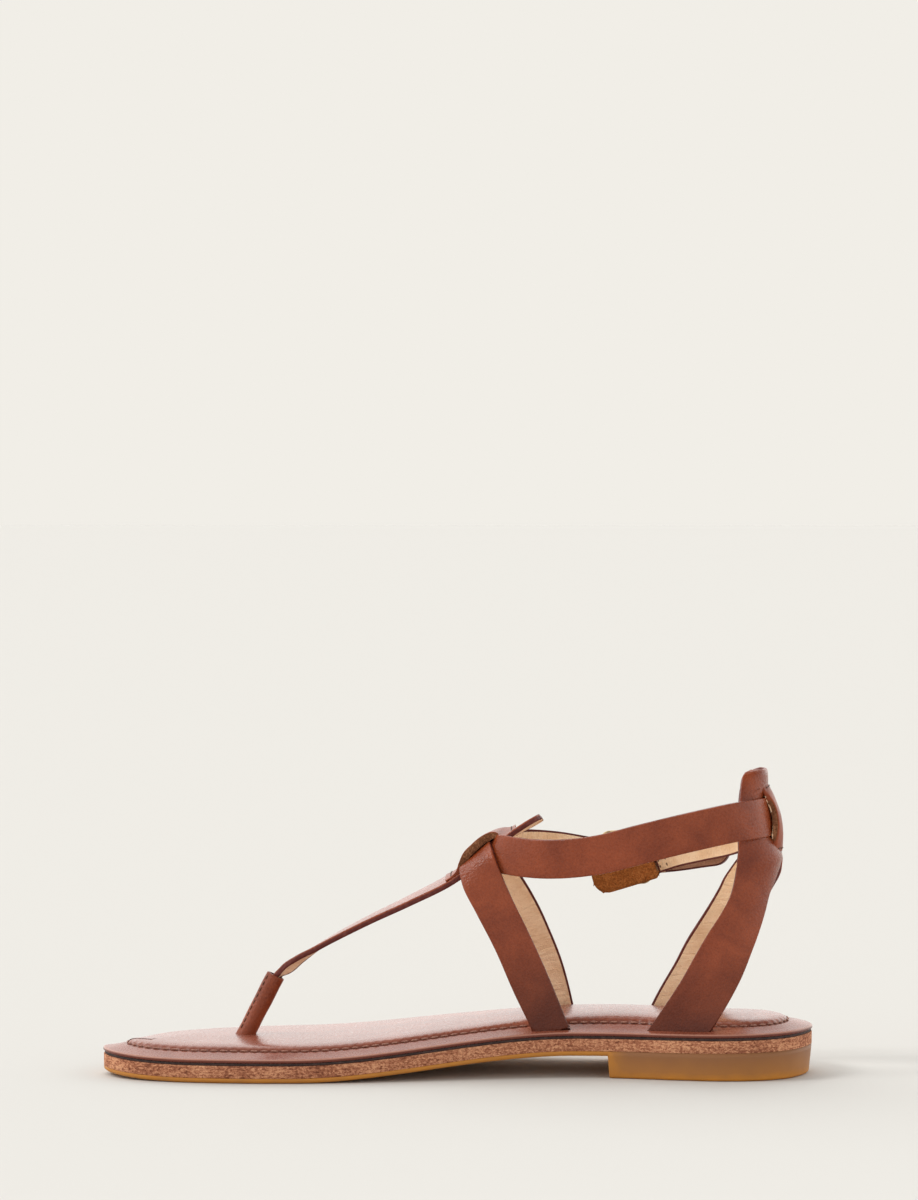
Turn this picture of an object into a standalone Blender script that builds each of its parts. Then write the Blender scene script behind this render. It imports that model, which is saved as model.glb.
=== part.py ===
"""A flat T-strap sandal for the right foot, in metres, standing on its sole.

The toe points to -X, the medial side faces -Y and the floor is z = 0.
All sizes and tables below are in millimetres and degrees, across the sole
from the line of the foot, which runs SIDE_MIDDLE beside the middle of the part.
"""
import bmesh
import bpy
import numpy as np

MM = 0.001

# Sole sizes
LENGTH = 248.0
SIDE_MIDDLE = 2.185
STATIONS = 34
TOE_SPRING = 1.4
TOE_BREAK = -90.0
ARCH_RISE = 7.7
ARCH_START = -56.0
ARCH_END = 42.0
HEEL_CUP = 0.9
HEEL_BREAST = 52.0
HEEL_INSET = 0.55
HEEL_TAPER = 0.9
ARCH_PAD = 0.4
ARCH_PAD_AT = 56.0
ARCH_PAD_REACH = 26.0
GAP = 0.3

# Sole outline: distance from the toe, medial edge, lateral edge
OUTLINE = (
    (0.0, -13.0, -13.0),
    (4.0, -25.0, -3.5),
    (12.0, -32.5, 14.0),
    (25.0, -37.7, 27.0),
    (42.0, -40.5, 35.5),
    (62.0, -41.0, 41.8),
    (85.0, -38.6, 45.0),
    (108.0, -33.0, 45.2),
    (130.0, -27.0, 42.3),
    (155.0, -22.6, 37.5),
    (178.0, -22.6, 33.2),
    (198.0, -27.0, 31.0),
    (216.0, -29.6, 30.0),
    (230.0, -27.2, 27.5),
    (240.0, -20.6, 21.0),
    (246.0, -10.2, 10.5),
    (248.0, 0.0, 0.0),
)

# Layers of the sole: inset from the outline, height above the under side
OUTSOLE_SECTION = ((1.7, 0.0), (0.8, 0.35), (0.4, 1.0), (0.4, 1.6))
MIDSOLE_SECTION = ((0.5, 1.9), (0.4, 5.9))
BOARD_SECTION = ((0.7, 6.2), (0.7, 7.1))
FOOTBED_EDGE = 8.3
FOOTBED_SECTION = (
    (0.9, 7.4), (0.2, 7.7), (0.2, 8.1), (0.9, 8.6), (4.5, 9.8), (7.6, 10.6),
    (8.6, 10.45), (9.8, 11.1), (12.4, 11.7), (15.0, 12.0),
)
TRIM_SECTION = ((-3.0, -4.0), (-3.0, 7.4))

# Strap sizes
STRAP_WALL = 2.0
LOOP_WALL = 1.4
PAD_WALL = 1.2
SLOT_SPACE = 0.35

# Strap tables: x, y, z of the middle, width, turn and lean of the outer face, bow across
MEDIAL_STRAP = (
    (36.0, -17.8, 8.0, 12.0, -90, 2, 0.0),
    (32.2, -18.6, 17.4, 12.2, -90, 4, 0.1),
    (25.8, -19.2, 32.0, 13.2, -91, 6, 0.2),
    (18.9, -18.8, 47.4, 13.0, -94, 12, 0.3),
    (12.4, -16.6, 60.4, 13.0, -98, 20, 0.3),
    (8.6, -14.2, 68.6, 13.2, -102, 32, 0.3),
    (6.6, -11.0, 74.0, 13.4, -110, 52, 0.2),
    (6.3, -6.2, 76.0, 13.4, -150, 58, 0.0),
    (7.0, 0.0, 76.5, 13.4, 180, 52, 0.0),
    (9.2, 6.4, 76.9, 13.4, 135, 52, 0.0),
    (15.0, 11.8, 76.8, 13.3, 113, 26, 0.1),
    (24.5, 16.8, 76.3, 13.2, 116, 6, 0.2),
    (35.0, 21.3, 75.1, 13.0, 110, 0, 0.2),
    (42.5, 24.0, 73.6, 13.0, 106, 0, 0.2),
    (50.1, 26.3, 72.1, 13.0, 101, 0, 0.1),
    (56.1, 28.2, 71.8, 13.0, 110, 0, 0.0),
    (60.7, 31.0, 72.2, 13.0, 108, 0, 0.0),
    (66.6, 32.4, 72.9, 13.0, 92, 0, 0.1),
    (76.0, 31.9, 73.9, 13.0, 81, 0, 0.2),
    (87.0, 29.3, 75.2, 12.8, 72, 0, 0.2),
    (94.4, 26.1, 76.4, 12.6, 70, 0, 0.2),
)
LATERAL_STRAP = (
    (34.4, 31.8, 8.0, 14.0, 90, 6, 0.0),
    (32.6, 30.6, 18.0, 13.8, 90, 10, 0.1),
    (28.6, 26.8, 35.0, 13.2, 90, 15, 0.2),
    (25.2, 23.6, 44.3, 13.0, 92, 18, 0.3),
    (21.6, 20.2, 52.8, 13.0, 94, 21, 0.3),
    (17.0, 16.8, 61.4, 13.0, 97, 24, 0.3),
    (12.0, 13.4, 69.2, 13.2, 102, 34, 0.3),
    (8.8, 9.6, 73.9, 13.2, 112, 54, 0.2),
    (7.8, 5.0, 75.2, 13.2, 150, 58, 0.0),
    (7.8, 0.0, 75.6, 13.2, 180, 52, 0.0),
    (9.8, -5.8, 76.2, 13.2, -135, 52, 0.0),
    (13.8, -9.9, 76.6, 13.2, -114, 26, 0.1),
    (20.0, -14.4, 75.9, 13.2, -113, 8, 0.2),
    (27.0, -18.3, 75.5, 13.3, -115, 2, 0.2),
    (36.0, -22.3, 75.8, 13.3, -109, 0, 0.2),
    (49.3, -26.0, 77.7, 13.3, -101, 0, 0.2),
    (63.0, -27.4, 81.3, 13.3, -90, 0, 0.2),
    (83.3, -24.8, 86.1, 13.3, -74, 1, 0.2),
    (96.0, -19.2, 88.5, 13.3, -52, 4, 0.2),
    (103.6, -11.3, 89.1, 13.3, -30, 8, 0.2),
    (107.6, 0.0, 89.1, 13.3, 0, 10, 0.2),
    (103.8, 11.3, 86.7, 13.3, 30, 8, 0.2),
    (96.0, 19.2, 81.4, 13.3, 52, 2, 0.2),
    (84.0, 24.6, 77.2, 13.3, 74, 0, 0.2),
    (75.0, 26.6, 74.6, 13.3, 81, 0, 0.1),
    (66.3, 26.9, 73.0, 13.3, 84, 0, 0.0),
)
T_STRAP = (
    (-78.4, -2.0, 1.4, 3.2, 180, 23, 0.0),
    (-70.0, -2.0, 20.9, 3.2, 180, 23, 0.0),
    (-65.8, -2.0, 30.9, 3.0, 180, 23, 0.0),
    (-63.9, -2.0, 34.5, 3.6, 170, 34, 0.0),
    (-60.6, -2.0, 36.9, 5.8, 150, 48, 0.0),
    (-55.8, -2.0, 39.5, 7.6, 154, 54, 0.1),
    (-50.4, -1.9, 42.5, 8.6, 170, 58, 0.2),
    (-45.0, -1.8, 45.4, 9.6, 178, 60, 0.3),
    (-31.0, -1.2, 52.8, 12.6, 184, 62, 0.5),
    (-17.0, -0.6, 59.5, 15.6, 184, 62, 0.6),
    (-3.0, 0.0, 66.8, 17.6, 180, 58, 0.6),
    (8.5, 0.0, 74.8, 18.0, 180, 53, 0.5),
    (18.4, 0.0, 82.6, 18.0, 180, 56, 0.4),
    (28.6, 0.0, 88.8, 16.6, 180, 61, 0.4),
)
INSTEP_LOOP = (
    (-6.2, 0.0, 67.46, 17.6, 180, 58, 0.6),
    (-4.2, 0.0, 68.7, 17.6, 180, 56, 0.6),
    (-2.65, 0.0, 71.3, 17.4, 180, 39, 0.5),
    (-0.6, 0.0, 75.2, 17.2, 180, 40, 0.4),
    (4.2, 0.0, 79.4, 17.0, 180, 48, 0.4),
    (8.8, 0.0, 82.7, 17.0, 180, 60, 0.4),
    (12.0, 0.0, 83.7, 17.0, 180, 80, 0.4),
    (14.6, 0.0, 83.7, 17.0, 180, 76, 0.3),
    (16.8, 0.0, 84.6, 17.0, 180, 64, 0.3),
    (19.8, 0.0, 86.5, 17.0, 180, 60, 0.4),
)
HEEL_LOOP = (
    (107.7, 0.0, 101.6, 15.0, 0, 14, 1.9),
    (108.2, 0.0, 99.2, 15.4, 0, 14, 2.1),
    (109.1, 0.0, 95.4, 16.0, 0, 13, 2.2),
    (109.95, 0.0, 90.0, 16.4, 0, 12, 2.2),
    (110.8, 0.0, 84.6, 16.4, 0, 9, 2.1),
    (111.2, 0.0, 80.6, 16.2, 0, 8, 1.7),
    (111.8, 0.0, 77.8, 16.0, 0, 8, 1.4),
    (112.4, 0.0, 75.8, 15.8, 0, 8, 1.4),
)
BUCKLE_PAD = (
    (46.8, 22.0, 68.4, 18.4, 97, 0, 0.2),
    (57.5, 23.1, 71.4, 18.4, 93, 0, 0.2),
    (68.4, 23.0, 74.8, 18.0, 87, 0, 0.2),
)

# Heel side, a section a height: height, front edge x and y, rear edge x and y, bow
HEEL_SIDE = (
    (8.0, 59.4, -20.2, 81.4, -25.0, 0.2),
    (19.0, 66.6, -22.0, 88.5, -25.6, 0.4),
    (27.0, 71.8, -23.4, 93.2, -24.4, 0.8),
    (35.0, 77.0, -24.1, 96.8, -22.4, 1.2),
    (43.0, 82.0, -23.4, 100.2, -19.9, 1.5),
    (50.0, 87.2, -21.8, 103.2, -17.0, 1.7),
    (57.0, 91.8, -20.2, 105.8, -13.4, 2.0),
    (63.0, 94.2, -19.2, 107.8, -9.8, 2.4),
    (68.0, 95.4, -18.4, 110.2, -5.2, 3.2),
    (71.5, 96.2, -17.8, 111.4, -1.6, 4.2),
    (73.6, 96.6, -17.5, 111.5, 0.6, 4.8),
    (78.0, 97.0, -16.9, 110.2, 0.6, 4.4),
    (84.0, 97.3, -16.3, 107.7, 0.6, 3.6),
    (90.0, 97.6, -15.6, 106.5, 0.6, 3.2),
    (95.0, 97.8, -14.4, 105.7, 0.6, 3.0),
    (98.8, 98.3, -12.6, 106.1, 0.6, 2.9),
    (102.0, 99.0, -10.4, 105.8, 0.6, 2.4),
    (104.2, 100.4, -7.8, 105.5, 0.6, 1.6),
    (105.4, 102.6, -4.6, 105.2, 0.6, 0.6),
)

# Toe post, a leather tube leaning back to the strap it holds
POST_FOOT = (-79.6, -2.0, -1.4)
POST_TOP = (-64.9, -2.0, 33.0)
POST_RADIUS = 3.1
POST_WALL = 0.9

# Buckle: a wire frame hung on a bar held by the folded end of the strap
FRAME_FRONT = (50.0, 28.9, 71.6)
FRAME_BAR = (65.7, 27.2, 72.9)
FRAME_HEIGHT = 17.4
FRAME_CORNER = 2.6
WIRE = 1.1
SLEEVE_RADIUS = 2.75
SLEEVE_BORE = 1.4
SLEEVE_LENGTH = 12.6
PRONG_NOTCH = 3.0
NOTCH_RADIUS = 3.4
PRONG_WIRE = 0.8
PRONG_HOLE = 1.2


def clear_scene():
    """Remove every object already in the file."""
    for item in list(bpy.data.objects):
        bpy.data.objects.remove(item, do_unlink=True)


def finish(name, colour, roughness, metallic=0.0):
    """A plain surface for one node."""
    made = bpy.data.materials.new(name)
    made.use_nodes = True
    shader = made.node_tree.nodes["Principled BSDF"]
    shader.inputs["Base Color"].default_value = (*colour, 1.0)
    shader.inputs["Roughness"].default_value = roughness
    shader.inputs["Metallic"].default_value = metallic
    return made


def add_object(name, points, faces, material=None):
    """One closed mesh from millimetre points, its faces turned outward."""
    shape = bmesh.new()
    verts = [shape.verts.new((x * MM, (y - SIDE_MIDDLE) * MM, z * MM)) for x, y, z in points]
    for face in faces:
        shape.faces.new([verts[index] for index in face])
    bmesh.ops.recalc_face_normals(shape, faces=shape.faces)
    mesh = bpy.data.meshes.new(name)
    shape.to_mesh(mesh)
    shape.free()
    made = bpy.data.objects.new(name, mesh)
    bpy.context.scene.collection.objects.link(made)
    if material is not None:
        mesh.materials.append(material)
    return made


def combine(target, tool, operation):
    """Join a helper solid to a node, or cut it away, and hide the helper."""
    step = target.modifiers.new(tool.name, "BOOLEAN")
    step.operation = operation
    step.solver = "EXACT"
    step.object = tool
    tool.hide_render = True
    tool.display_type = "WIRE"


def through(knots, rows, at):
    """Smooth values at the given places on a curve through every row."""
    slopes = np.gradient(rows, knots, axis=0)
    index = np.clip(np.searchsorted(knots, at, "right") - 1, 0, len(knots) - 2)
    span = (knots[index + 1] - knots[index])[:, None]
    t = (at - knots[index])[:, None] / span
    start = (2 * t ** 3 - 3 * t ** 2 + 1) * rows[index] + (t ** 3 - 2 * t ** 2 + t) * span * slopes[index]
    end = (3 * t ** 2 - 2 * t ** 3) * rows[index + 1] + (t ** 3 - t ** 2) * span * slopes[index + 1]
    return start + end


def unit(vectors):
    """Vectors of length one."""
    return vectors / np.linalg.norm(vectors, axis=-1, keepdims=True)


def under_side(x):
    """Height of the sole's under side: toe spring, flat tread, arch, heel seat."""
    toe = np.clip((TOE_BREAK - x) / (TOE_BREAK + LENGTH / 2), 0.0, 1.0)
    arch = np.clip((x - ARCH_START) / (ARCH_END - ARCH_START), 0.0, 1.0)
    heel = np.clip((x - ARCH_END) / (LENGTH / 2 - ARCH_END), 0.0, 1.0)
    return TOE_SPRING * toe ** 2 + ARCH_RISE * arch ** 2 * (3 - 2 * arch) + HEEL_CUP * heel ** 2


def outline_ring(inset):
    """The sole's outline drawn in by an inset, from the toe round the lateral side."""
    table = np.array(OUTLINE)
    knots = np.arccos(1 - 2 * table[:, 0] / LENGTH) / np.pi
    at = np.linspace(0.0, 1.0, STATIONS + 1)
    sides = through(knots, table[:, 1:], at)
    x = -LENGTH / 2 * np.cos(np.pi * at)
    lateral = np.column_stack((x, sides[:, 1]))
    medial = np.column_stack((x, sides[:, 0]))
    ring = np.concatenate((lateral, medial[-2:0:-1]))
    along = unit(np.roll(ring, -1, axis=0) - np.roll(ring, 1, axis=0))
    inward = np.column_stack((along[:, 1], -along[:, 0]))
    return ring + inset * inward


def pad_share(x):
    """How high the footbed's padding stands along the sole, most under the arch."""
    return 1.0 + ARCH_PAD * np.exp(-((x - ARCH_PAD_AT) / ARCH_PAD_REACH) ** 2)


def sole_layer(name, section, material=None, padded=False):
    """A layer of the sole: a ring for each row of its section, closed by ladders."""
    count = 2 * STATIONS
    points = []
    for inset, height in section:
        ring = outline_ring(inset)
        rise = np.full(count, height)
        if padded and height > FOOTBED_EDGE:
            rise = FOOTBED_EDGE + (height - FOOTBED_EDGE) * pad_share(ring[:, 0])
        points.extend(np.column_stack((ring, under_side(ring[:, 0]) + rise)))
    faces = []
    for level in range(len(section) - 1):
        low = level * count
        for i in range(count):
            j = (i + 1) % count
            faces.append((low + i, low + j, low + count + j, low + count + i))
    for low in (0, (len(section) - 1) * count):
        faces.append((low, low + 1, low + count - 1))
        for i in range(1, STATIONS - 1):
            faces.append((low + i, low + i + 1, low + count - i - 1, low + count - i))
        faces.append((low + STATIONS - 1, low + STATIONS, low + STATIONS + 1))
    return add_object(name, points, faces, material)


def heel_block(name):
    """The moulded heel: the back of the outline, tapered down to the floor."""
    ring = outline_ring(HEEL_INSET)
    back = np.where(ring[:, 0] > HEEL_BREAST)[0]
    medial = np.interp(HEEL_BREAST, ring[:STATIONS:-1, 0], ring[:STATIONS:-1, 1])
    lateral = np.interp(HEEL_BREAST, ring[:STATIONS, 0], ring[:STATIONS, 1])
    plan = np.concatenate((((HEEL_BREAST, lateral),), ring[back], ((HEEL_BREAST, medial),)))
    centre = np.array((80.0, 1.0))
    foot = plan - HEEL_TAPER * unit(plan - centre)
    foot[(0, -1), 0] = HEEL_BREAST
    tread = foot - 0.6 * unit(foot - centre)
    tread[(0, -1), 0] = HEEL_BREAST
    count = len(plan)
    top = under_side(plan[:, 0]) + 0.8
    levels = ((tread, np.zeros(count)), (foot, np.full(count, 0.6)), (plan, top))
    points = [(*spot, z) for spots, heights in levels for spot, z in zip(spots, heights)]
    faces = []
    for low in (0, count):
        for i in range(count):
            j = (i + 1) % count
            faces.append((low + i, low + j, low + count + j, low + count + i))
    for low in (0, 2 * count):
        for i in range(count // 2 - 1):
            faces.append((low + i, low + i + 1, low + count - i - 2, low + count - i - 1))
        faces.append((low + count // 2 - 1, low + count // 2, low + count // 2 + 1))
    return add_object(name, points, faces)


def sheet(name, grid, wall, material=None):
    """A solid of even wall about a grid of points, its long edges eased."""
    rows, columns = grid.shape[:2]
    along = np.gradient(grid, axis=0)
    across = np.gradient(grid, axis=1)
    normal = unit(np.cross(along, across))
    ease = np.ones(columns)
    ease[[0, -1]] = 0.55
    offset = normal * (wall / 2 * ease)[None, :, None]
    points = np.concatenate(((grid + offset).reshape(-1, 3), (grid - offset).reshape(-1, 3)))
    half = rows * columns
    faces = []
    for r in range(rows - 1):
        for c in range(columns - 1):
            a = r * columns + c
            faces.append((a, a + 1, a + columns + 1, a + columns))
            faces.append((half + a, half + a + columns, half + a + columns + 1, half + a + 1))
    rim = [c for c in range(columns)]
    rim += [r * columns + columns - 1 for r in range(1, rows)]
    rim += [(rows - 1) * columns + c for c in range(columns - 2, -1, -1)]
    rim += [r * columns for r in range(rows - 2, 0, -1)]
    for a, b in zip(rim, rim[1:] + rim[:1]):
        faces.append((a, half + a, half + b, b))
    return add_object(name, points, faces, material)


def strap_grid(table, step, spread=0.0, tips=(0.0, 0.0)):
    """The middle surface of a strap: a row of points for each step along its table."""
    table = np.array(table, float)
    turn, lean = np.radians(table[:, 4]), np.radians(table[:, 5])
    outer = np.column_stack((np.cos(lean) * np.cos(turn), np.cos(lean) * np.sin(turn), np.sin(lean)))
    rows = np.column_stack((table[:, :4], table[:, 6], outer))
    knots = np.concatenate(((0.0,), np.cumsum(np.linalg.norm(np.diff(table[:, :3], axis=0), axis=1))))
    at = np.linspace(0.0, knots[-1], int(round(knots[-1] / step)) + 1)
    for end, size in zip((0.0, knots[-1]), tips):
        if size:
            at = np.union1d(at, abs(end - size * np.array((0.01, 0.07, 0.2, 0.45))))
    values = through(knots, rows, at)
    middle, half, bow = values[:, :3], values[:, 3] / 2 + spread, values[:, 4]
    for end, size in zip((0.0, knots[-1]), tips):
        if size:
            reach = np.clip(abs(at - end) / size, 0.02, 1.0)
            half = half - size * (1 - np.sqrt(1 - (1 - reach) ** 2))
    along = unit(np.gradient(middle, at, axis=0))
    side = unit(np.cross(values[:, 5:8], along))
    normal = np.cross(along, side)
    ease = 0.5 / half
    share = np.column_stack((-np.ones(len(at)), ease - 1, np.zeros(len(at)), 1 - ease, np.ones(len(at))))
    return (middle[:, None] + (half[:, None] * share)[..., None] * side[:, None]
            - (bow[:, None] * share ** 2)[..., None] * normal[:, None])


def heel_grid(side):
    """The middle surface of one side of the heel strap, from the sole to its top."""
    table = np.array(HEEL_SIDE)
    at = np.concatenate((np.arange(8.0, 64.0, 4.0), np.arange(64.0, 103.0, 2.5), (103.2, 104.5, 105.4)))
    values = through(table[:, 0], table[:, 1:], at)
    front, rear, bow = values[:, 0:2], values[:, 2:4], values[:, 4]
    chord = rear - front
    outward = unit(np.column_stack((chord[:, 1], -chord[:, 0])))
    ease = 0.5 / np.linalg.norm(chord, axis=1)
    zero = np.zeros(len(at))
    share = np.column_stack((zero, ease, zero + 0.25, zero + 0.5, zero + 0.75, 1 - ease, zero + 1))
    lift = 4 * bow[:, None] * share * (1 - share) - STRAP_WALL / 2
    plan = front[:, None] + share[..., None] * chord[:, None] + lift[..., None] * outward[:, None]
    plan[..., 1] = plan[..., 1] * side
    return np.dstack((plan, np.repeat(at[:, None], share.shape[1], axis=1)))


def tube(name, path, radius, sides, spin, closed=False, material=None):
    """A round wire along a path square to the spin axis, its ends flat unless closed."""
    path = np.array(path, float)
    count = len(path)
    if closed:
        along = unit(np.roll(path, -1, axis=0) - np.roll(path, 1, axis=0))
    else:
        along = unit(np.gradient(path, axis=0))
    first = unit(np.cross(along, spin))
    second = np.cross(along, first)
    angle = np.linspace(0.0, 2 * np.pi, sides, endpoint=False)
    wheel = np.cos(angle)[None, :, None] * first[:, None] + np.sin(angle)[None, :, None] * second[:, None]
    points = (path[:, None] + radius * wheel).reshape(-1, 3)
    faces = []
    for r in range(count if closed else count - 1):
        for c in range(sides):
            a, b = r * sides, (r + 1) % count * sides
            d = (c + 1) % sides
            faces.append((a + c, a + d, b + d, b + c))
    if not closed:
        faces.append(tuple(range(sides)))
        faces.append(tuple((count - 1) * sides + c for c in range(sides)))
    return add_object(name, points, faces, material)


def pipe(name, start, end, outer, inner, sides, rows, material=None):
    """A straight pipe between two points, square to its own line."""
    start, end = np.array(start, float), np.array(end, float)
    along = unit(end - start)
    first = unit(np.cross(along, (0.0, 1.0, 0.001)))
    second = np.cross(along, first)
    angle = np.linspace(0.0, 2 * np.pi, sides, endpoint=False)
    wheel = np.cos(angle)[:, None] * first + np.sin(angle)[:, None] * second
    spots = np.linspace(0.0, 1.0, rows)
    rings = [start + (end - start) * t + outer * wheel for t in spots]
    rings += [start + (end - start) * t + inner * wheel for t in spots[::-1]]
    faces = []
    for r in range(len(rings)):
        for c in range(sides):
            a, b = r * sides, (r + 1) % len(rings) * sides
            d = (c + 1) % sides
            faces.append((a + c, a + d, b + d, b + c))
    return add_object(name, np.concatenate(rings), faces, material)


def frame_axes():
    """Middle, length, height and outward directions of the buckle frame."""
    front, bar = np.array(FRAME_FRONT), np.array(FRAME_BAR)
    along = unit(bar - front)
    outward = unit(np.cross((0.0, 0.0, 1.0), along))
    height = np.cross(along, outward)
    return (front + bar) / 2, along, height, outward


def frame_path():
    """The closed line of the buckle's wire, with rounded corners."""
    middle, along, height, _ = frame_axes()
    reach = np.linalg.norm(np.array(FRAME_BAR) - np.array(FRAME_FRONT)) / 2
    tall = FRAME_HEIGHT / 2
    path = []
    for quarter in range(4):
        sign_a = (1, -1, -1, 1)[quarter]
        sign_h = (1, 1, -1, -1)[quarter]
        for angle in np.radians(np.linspace(90 * quarter, 90 * quarter + 90, 5)):
            a = sign_a * (reach - FRAME_CORNER) + FRAME_CORNER * np.cos(angle)
            h = sign_h * (tall - FRAME_CORNER) + FRAME_CORNER * np.sin(angle)
            path.append(middle + a * along + h * height)
    return path


def prong_line():
    """Where the prong's straight length leaves the bar and where it meets the frame's front."""
    _, along, _, outward = frame_axes()
    lift = (WIRE + GAP + PRONG_WIRE) * outward
    return np.array(FRAME_BAR) + lift, np.array(FRAME_FRONT) + lift + 2.0 * along


def prong_path():
    """The prong's line: round the bar, through the strap and over the frame's front."""
    _, along, _, outward = frame_axes()
    turn = WIRE + GAP + PRONG_WIRE
    path = []
    for angle in np.radians(np.linspace(-170.0, 70.0, 9)):
        path.append(np.array(FRAME_BAR) + turn * (np.cos(angle) * along + np.sin(angle) * outward))
    start, end = prong_line()
    return path + [start - 0.6 * along, end, end - 3.2 * along]


def build_sole():
    """Outsole with its heel, midsole, insole board and padded footbed."""
    gum = finish("gum rubber", (0.36, 0.17, 0.045), 0.45)
    fibre = finish("leatherboard", (0.38, 0.19, 0.11), 0.85)
    board = finish("dark board", (0.04, 0.03, 0.03), 0.7)
    sock = finish("sock leather", (0.30, 0.10, 0.06), 0.4)
    outsole = sole_layer("outsole", OUTSOLE_SECTION, gum)
    combine(outsole, heel_block("heel block"), "UNION")
    sole_layer("midsole", MIDSOLE_SECTION, fibre)
    sole_layer("insole_board", BOARD_SECTION, board)
    return sole_layer("footbed", FOOTBED_SECTION, sock, padded=True)


def build_upper(footbed):
    """The joined straps, their slots in the footbed, and the toe post."""
    hide = finish("strap leather", (0.22, 0.06, 0.03), 0.45)
    trim = sole_layer("sole trim", TRIM_SECTION)
    upper = sheet("upper", strap_grid(T_STRAP, 3.4, tips=(0.0, 5.0)), STRAP_WALL, hide)
    combine(upper, sheet("lateral strap", strap_grid(LATERAL_STRAP, 3.6), STRAP_WALL), "UNION")
    combine(upper, sheet("medial strap", strap_grid(MEDIAL_STRAP, 3.4, tips=(0.0, 6.0)), STRAP_WALL), "UNION")
    combine(upper, sheet("medial heel side", heel_grid(1), STRAP_WALL), "UNION")
    combine(upper, sheet("lateral heel side", heel_grid(-1), STRAP_WALL), "UNION")
    _, along, height, _ = frame_axes()
    bar = np.array(FRAME_BAR)
    reach = height * SLEEVE_LENGTH / 2
    notch = height * PRONG_NOTCH / 2
    start, end = prong_line()
    hole = (start * 0.88 + end * 0.12, start * 0.15 + end * 0.85)
    combine(upper, tube("bar sleeve", (bar - reach, bar + reach), SLEEVE_RADIUS, 16, along), "UNION")
    combine(upper, tube("bar bore", (bar - 2 * reach, bar + 2 * reach), SLEEVE_BORE, 16, along), "DIFFERENCE")
    combine(upper, tube("prong notch", (bar - notch, bar + notch), NOTCH_RADIUS, 16, along), "DIFFERENCE")
    combine(upper, tube("prong hole", hole, PRONG_HOLE, 12, height), "DIFFERENCE")
    combine(upper, trim, "DIFFERENCE")
    post = pipe("toe_post", POST_FOOT, POST_TOP, POST_RADIUS, POST_RADIUS - POST_WALL, 20, 7, hide)
    combine(post, trim, "DIFFERENCE")
    hole = tube("post hole", (POST_FOOT, POST_TOP), POST_RADIUS + SLOT_SPACE, 20, (0.0, 1.0, 0.0))
    combine(footbed, hole, "DIFFERENCE")
    wall = STRAP_WALL + 2 * SLOT_SPACE
    for name, table in (("medial slot", MEDIAL_STRAP), ("lateral slot", LATERAL_STRAP)):
        grid = strap_grid(table, 3.6, spread=SLOT_SPACE)[:7]
        combine(footbed, sheet(name, grid, wall), "DIFFERENCE")
    for name, side in (("medial heel slot", 1), ("lateral heel slot", -1)):
        combine(footbed, sheet(name, heel_grid(side)[:6], wall), "DIFFERENCE")
    return hide


def build_loops(hide):
    """The two loops that hold the straps, over the instep and behind the heel."""
    sheet("instep_loop", strap_grid(INSTEP_LOOP, 2.2), LOOP_WALL, hide)
    sheet("heel_loop", strap_grid(HEEL_LOOP, 2.4), LOOP_WALL, hide)


def build_buckle():
    """Buckle frame, prong and the suede pad behind them."""
    brass = finish("aged brass", (0.33, 0.24, 0.11), 0.35, 1.0)
    suede = finish("suede", (0.20, 0.08, 0.03), 0.95)
    _, _, height, outward = frame_axes()
    tube("buckle_frame", frame_path(), WIRE, 10, outward, closed=True, material=brass)
    tube("buckle_prong", prong_path(), PRONG_WIRE, 8, height, material=brass)
    sheet("buckle_pad", strap_grid(BUCKLE_PAD, 3.0, tips=(5.0, 3.0)), PAD_WALL, suede)


def main():
    """Build every node of the sandal."""
    clear_scene()
    footbed = build_sole()
    hide = build_upper(footbed)
    build_loops(hide)
    build_buckle()


main()
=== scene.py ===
"""Looks of a flat T-strap sandal for the right foot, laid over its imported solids.

Sizes and tables are in millimetres from the line of the foot and in degrees. The toe points to -X, the
medial side faces -Y and the floor is z = 0. A finished mesh is in metres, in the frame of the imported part.
"""
import logging
import math
from dataclasses import dataclass, field
from enum import Enum

import bmesh
import bpy
import numpy as np
from mathutils import Matrix, Vector

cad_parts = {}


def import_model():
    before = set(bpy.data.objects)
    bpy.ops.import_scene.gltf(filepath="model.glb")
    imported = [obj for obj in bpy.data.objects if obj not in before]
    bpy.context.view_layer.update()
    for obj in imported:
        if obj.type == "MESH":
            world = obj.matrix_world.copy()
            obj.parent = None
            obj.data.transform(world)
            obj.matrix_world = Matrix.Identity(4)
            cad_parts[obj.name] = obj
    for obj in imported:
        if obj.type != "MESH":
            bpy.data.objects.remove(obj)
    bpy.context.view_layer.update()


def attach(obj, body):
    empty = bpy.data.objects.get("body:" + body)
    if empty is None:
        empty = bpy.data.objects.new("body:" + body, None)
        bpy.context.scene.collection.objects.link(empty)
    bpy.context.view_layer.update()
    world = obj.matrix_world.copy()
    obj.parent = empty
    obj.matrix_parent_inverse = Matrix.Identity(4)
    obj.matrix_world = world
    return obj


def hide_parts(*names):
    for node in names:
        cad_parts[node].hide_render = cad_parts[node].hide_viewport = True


LOG = logging.getLogger("sandal")

MM = 0.001
PAINT_LAP = 0.62
SIDE_MIDDLE = 2.185
SEAM_POINTS = 24
BODY = "root"

Colour = tuple[float, float, float]
Table = tuple[tuple[float, ...], ...]

NONE: Colour = (0.0, 0.0, 0.0)
FULL: Colour = (1.0, 1.0, 1.0)


class Slot(Enum):
    """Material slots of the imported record."""

    GUM = "gum_rubber"
    FIBRE = "leatherboard"
    BOARD = "board"
    SOCK = "sock_leather"
    STRAP = "strap_leather"
    SUEDE = "suede"
    BRASS = "aged_brass"


class Skin(Enum):
    """Which side of a sheet a face is on, and so which of its finishes it wears."""

    OUTER = 0
    INNER = 1
    RIM = 2
    # the inner side of a strap's tail, in a darker lining that is painted shade
    TAIL = 3


# Materials


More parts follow.
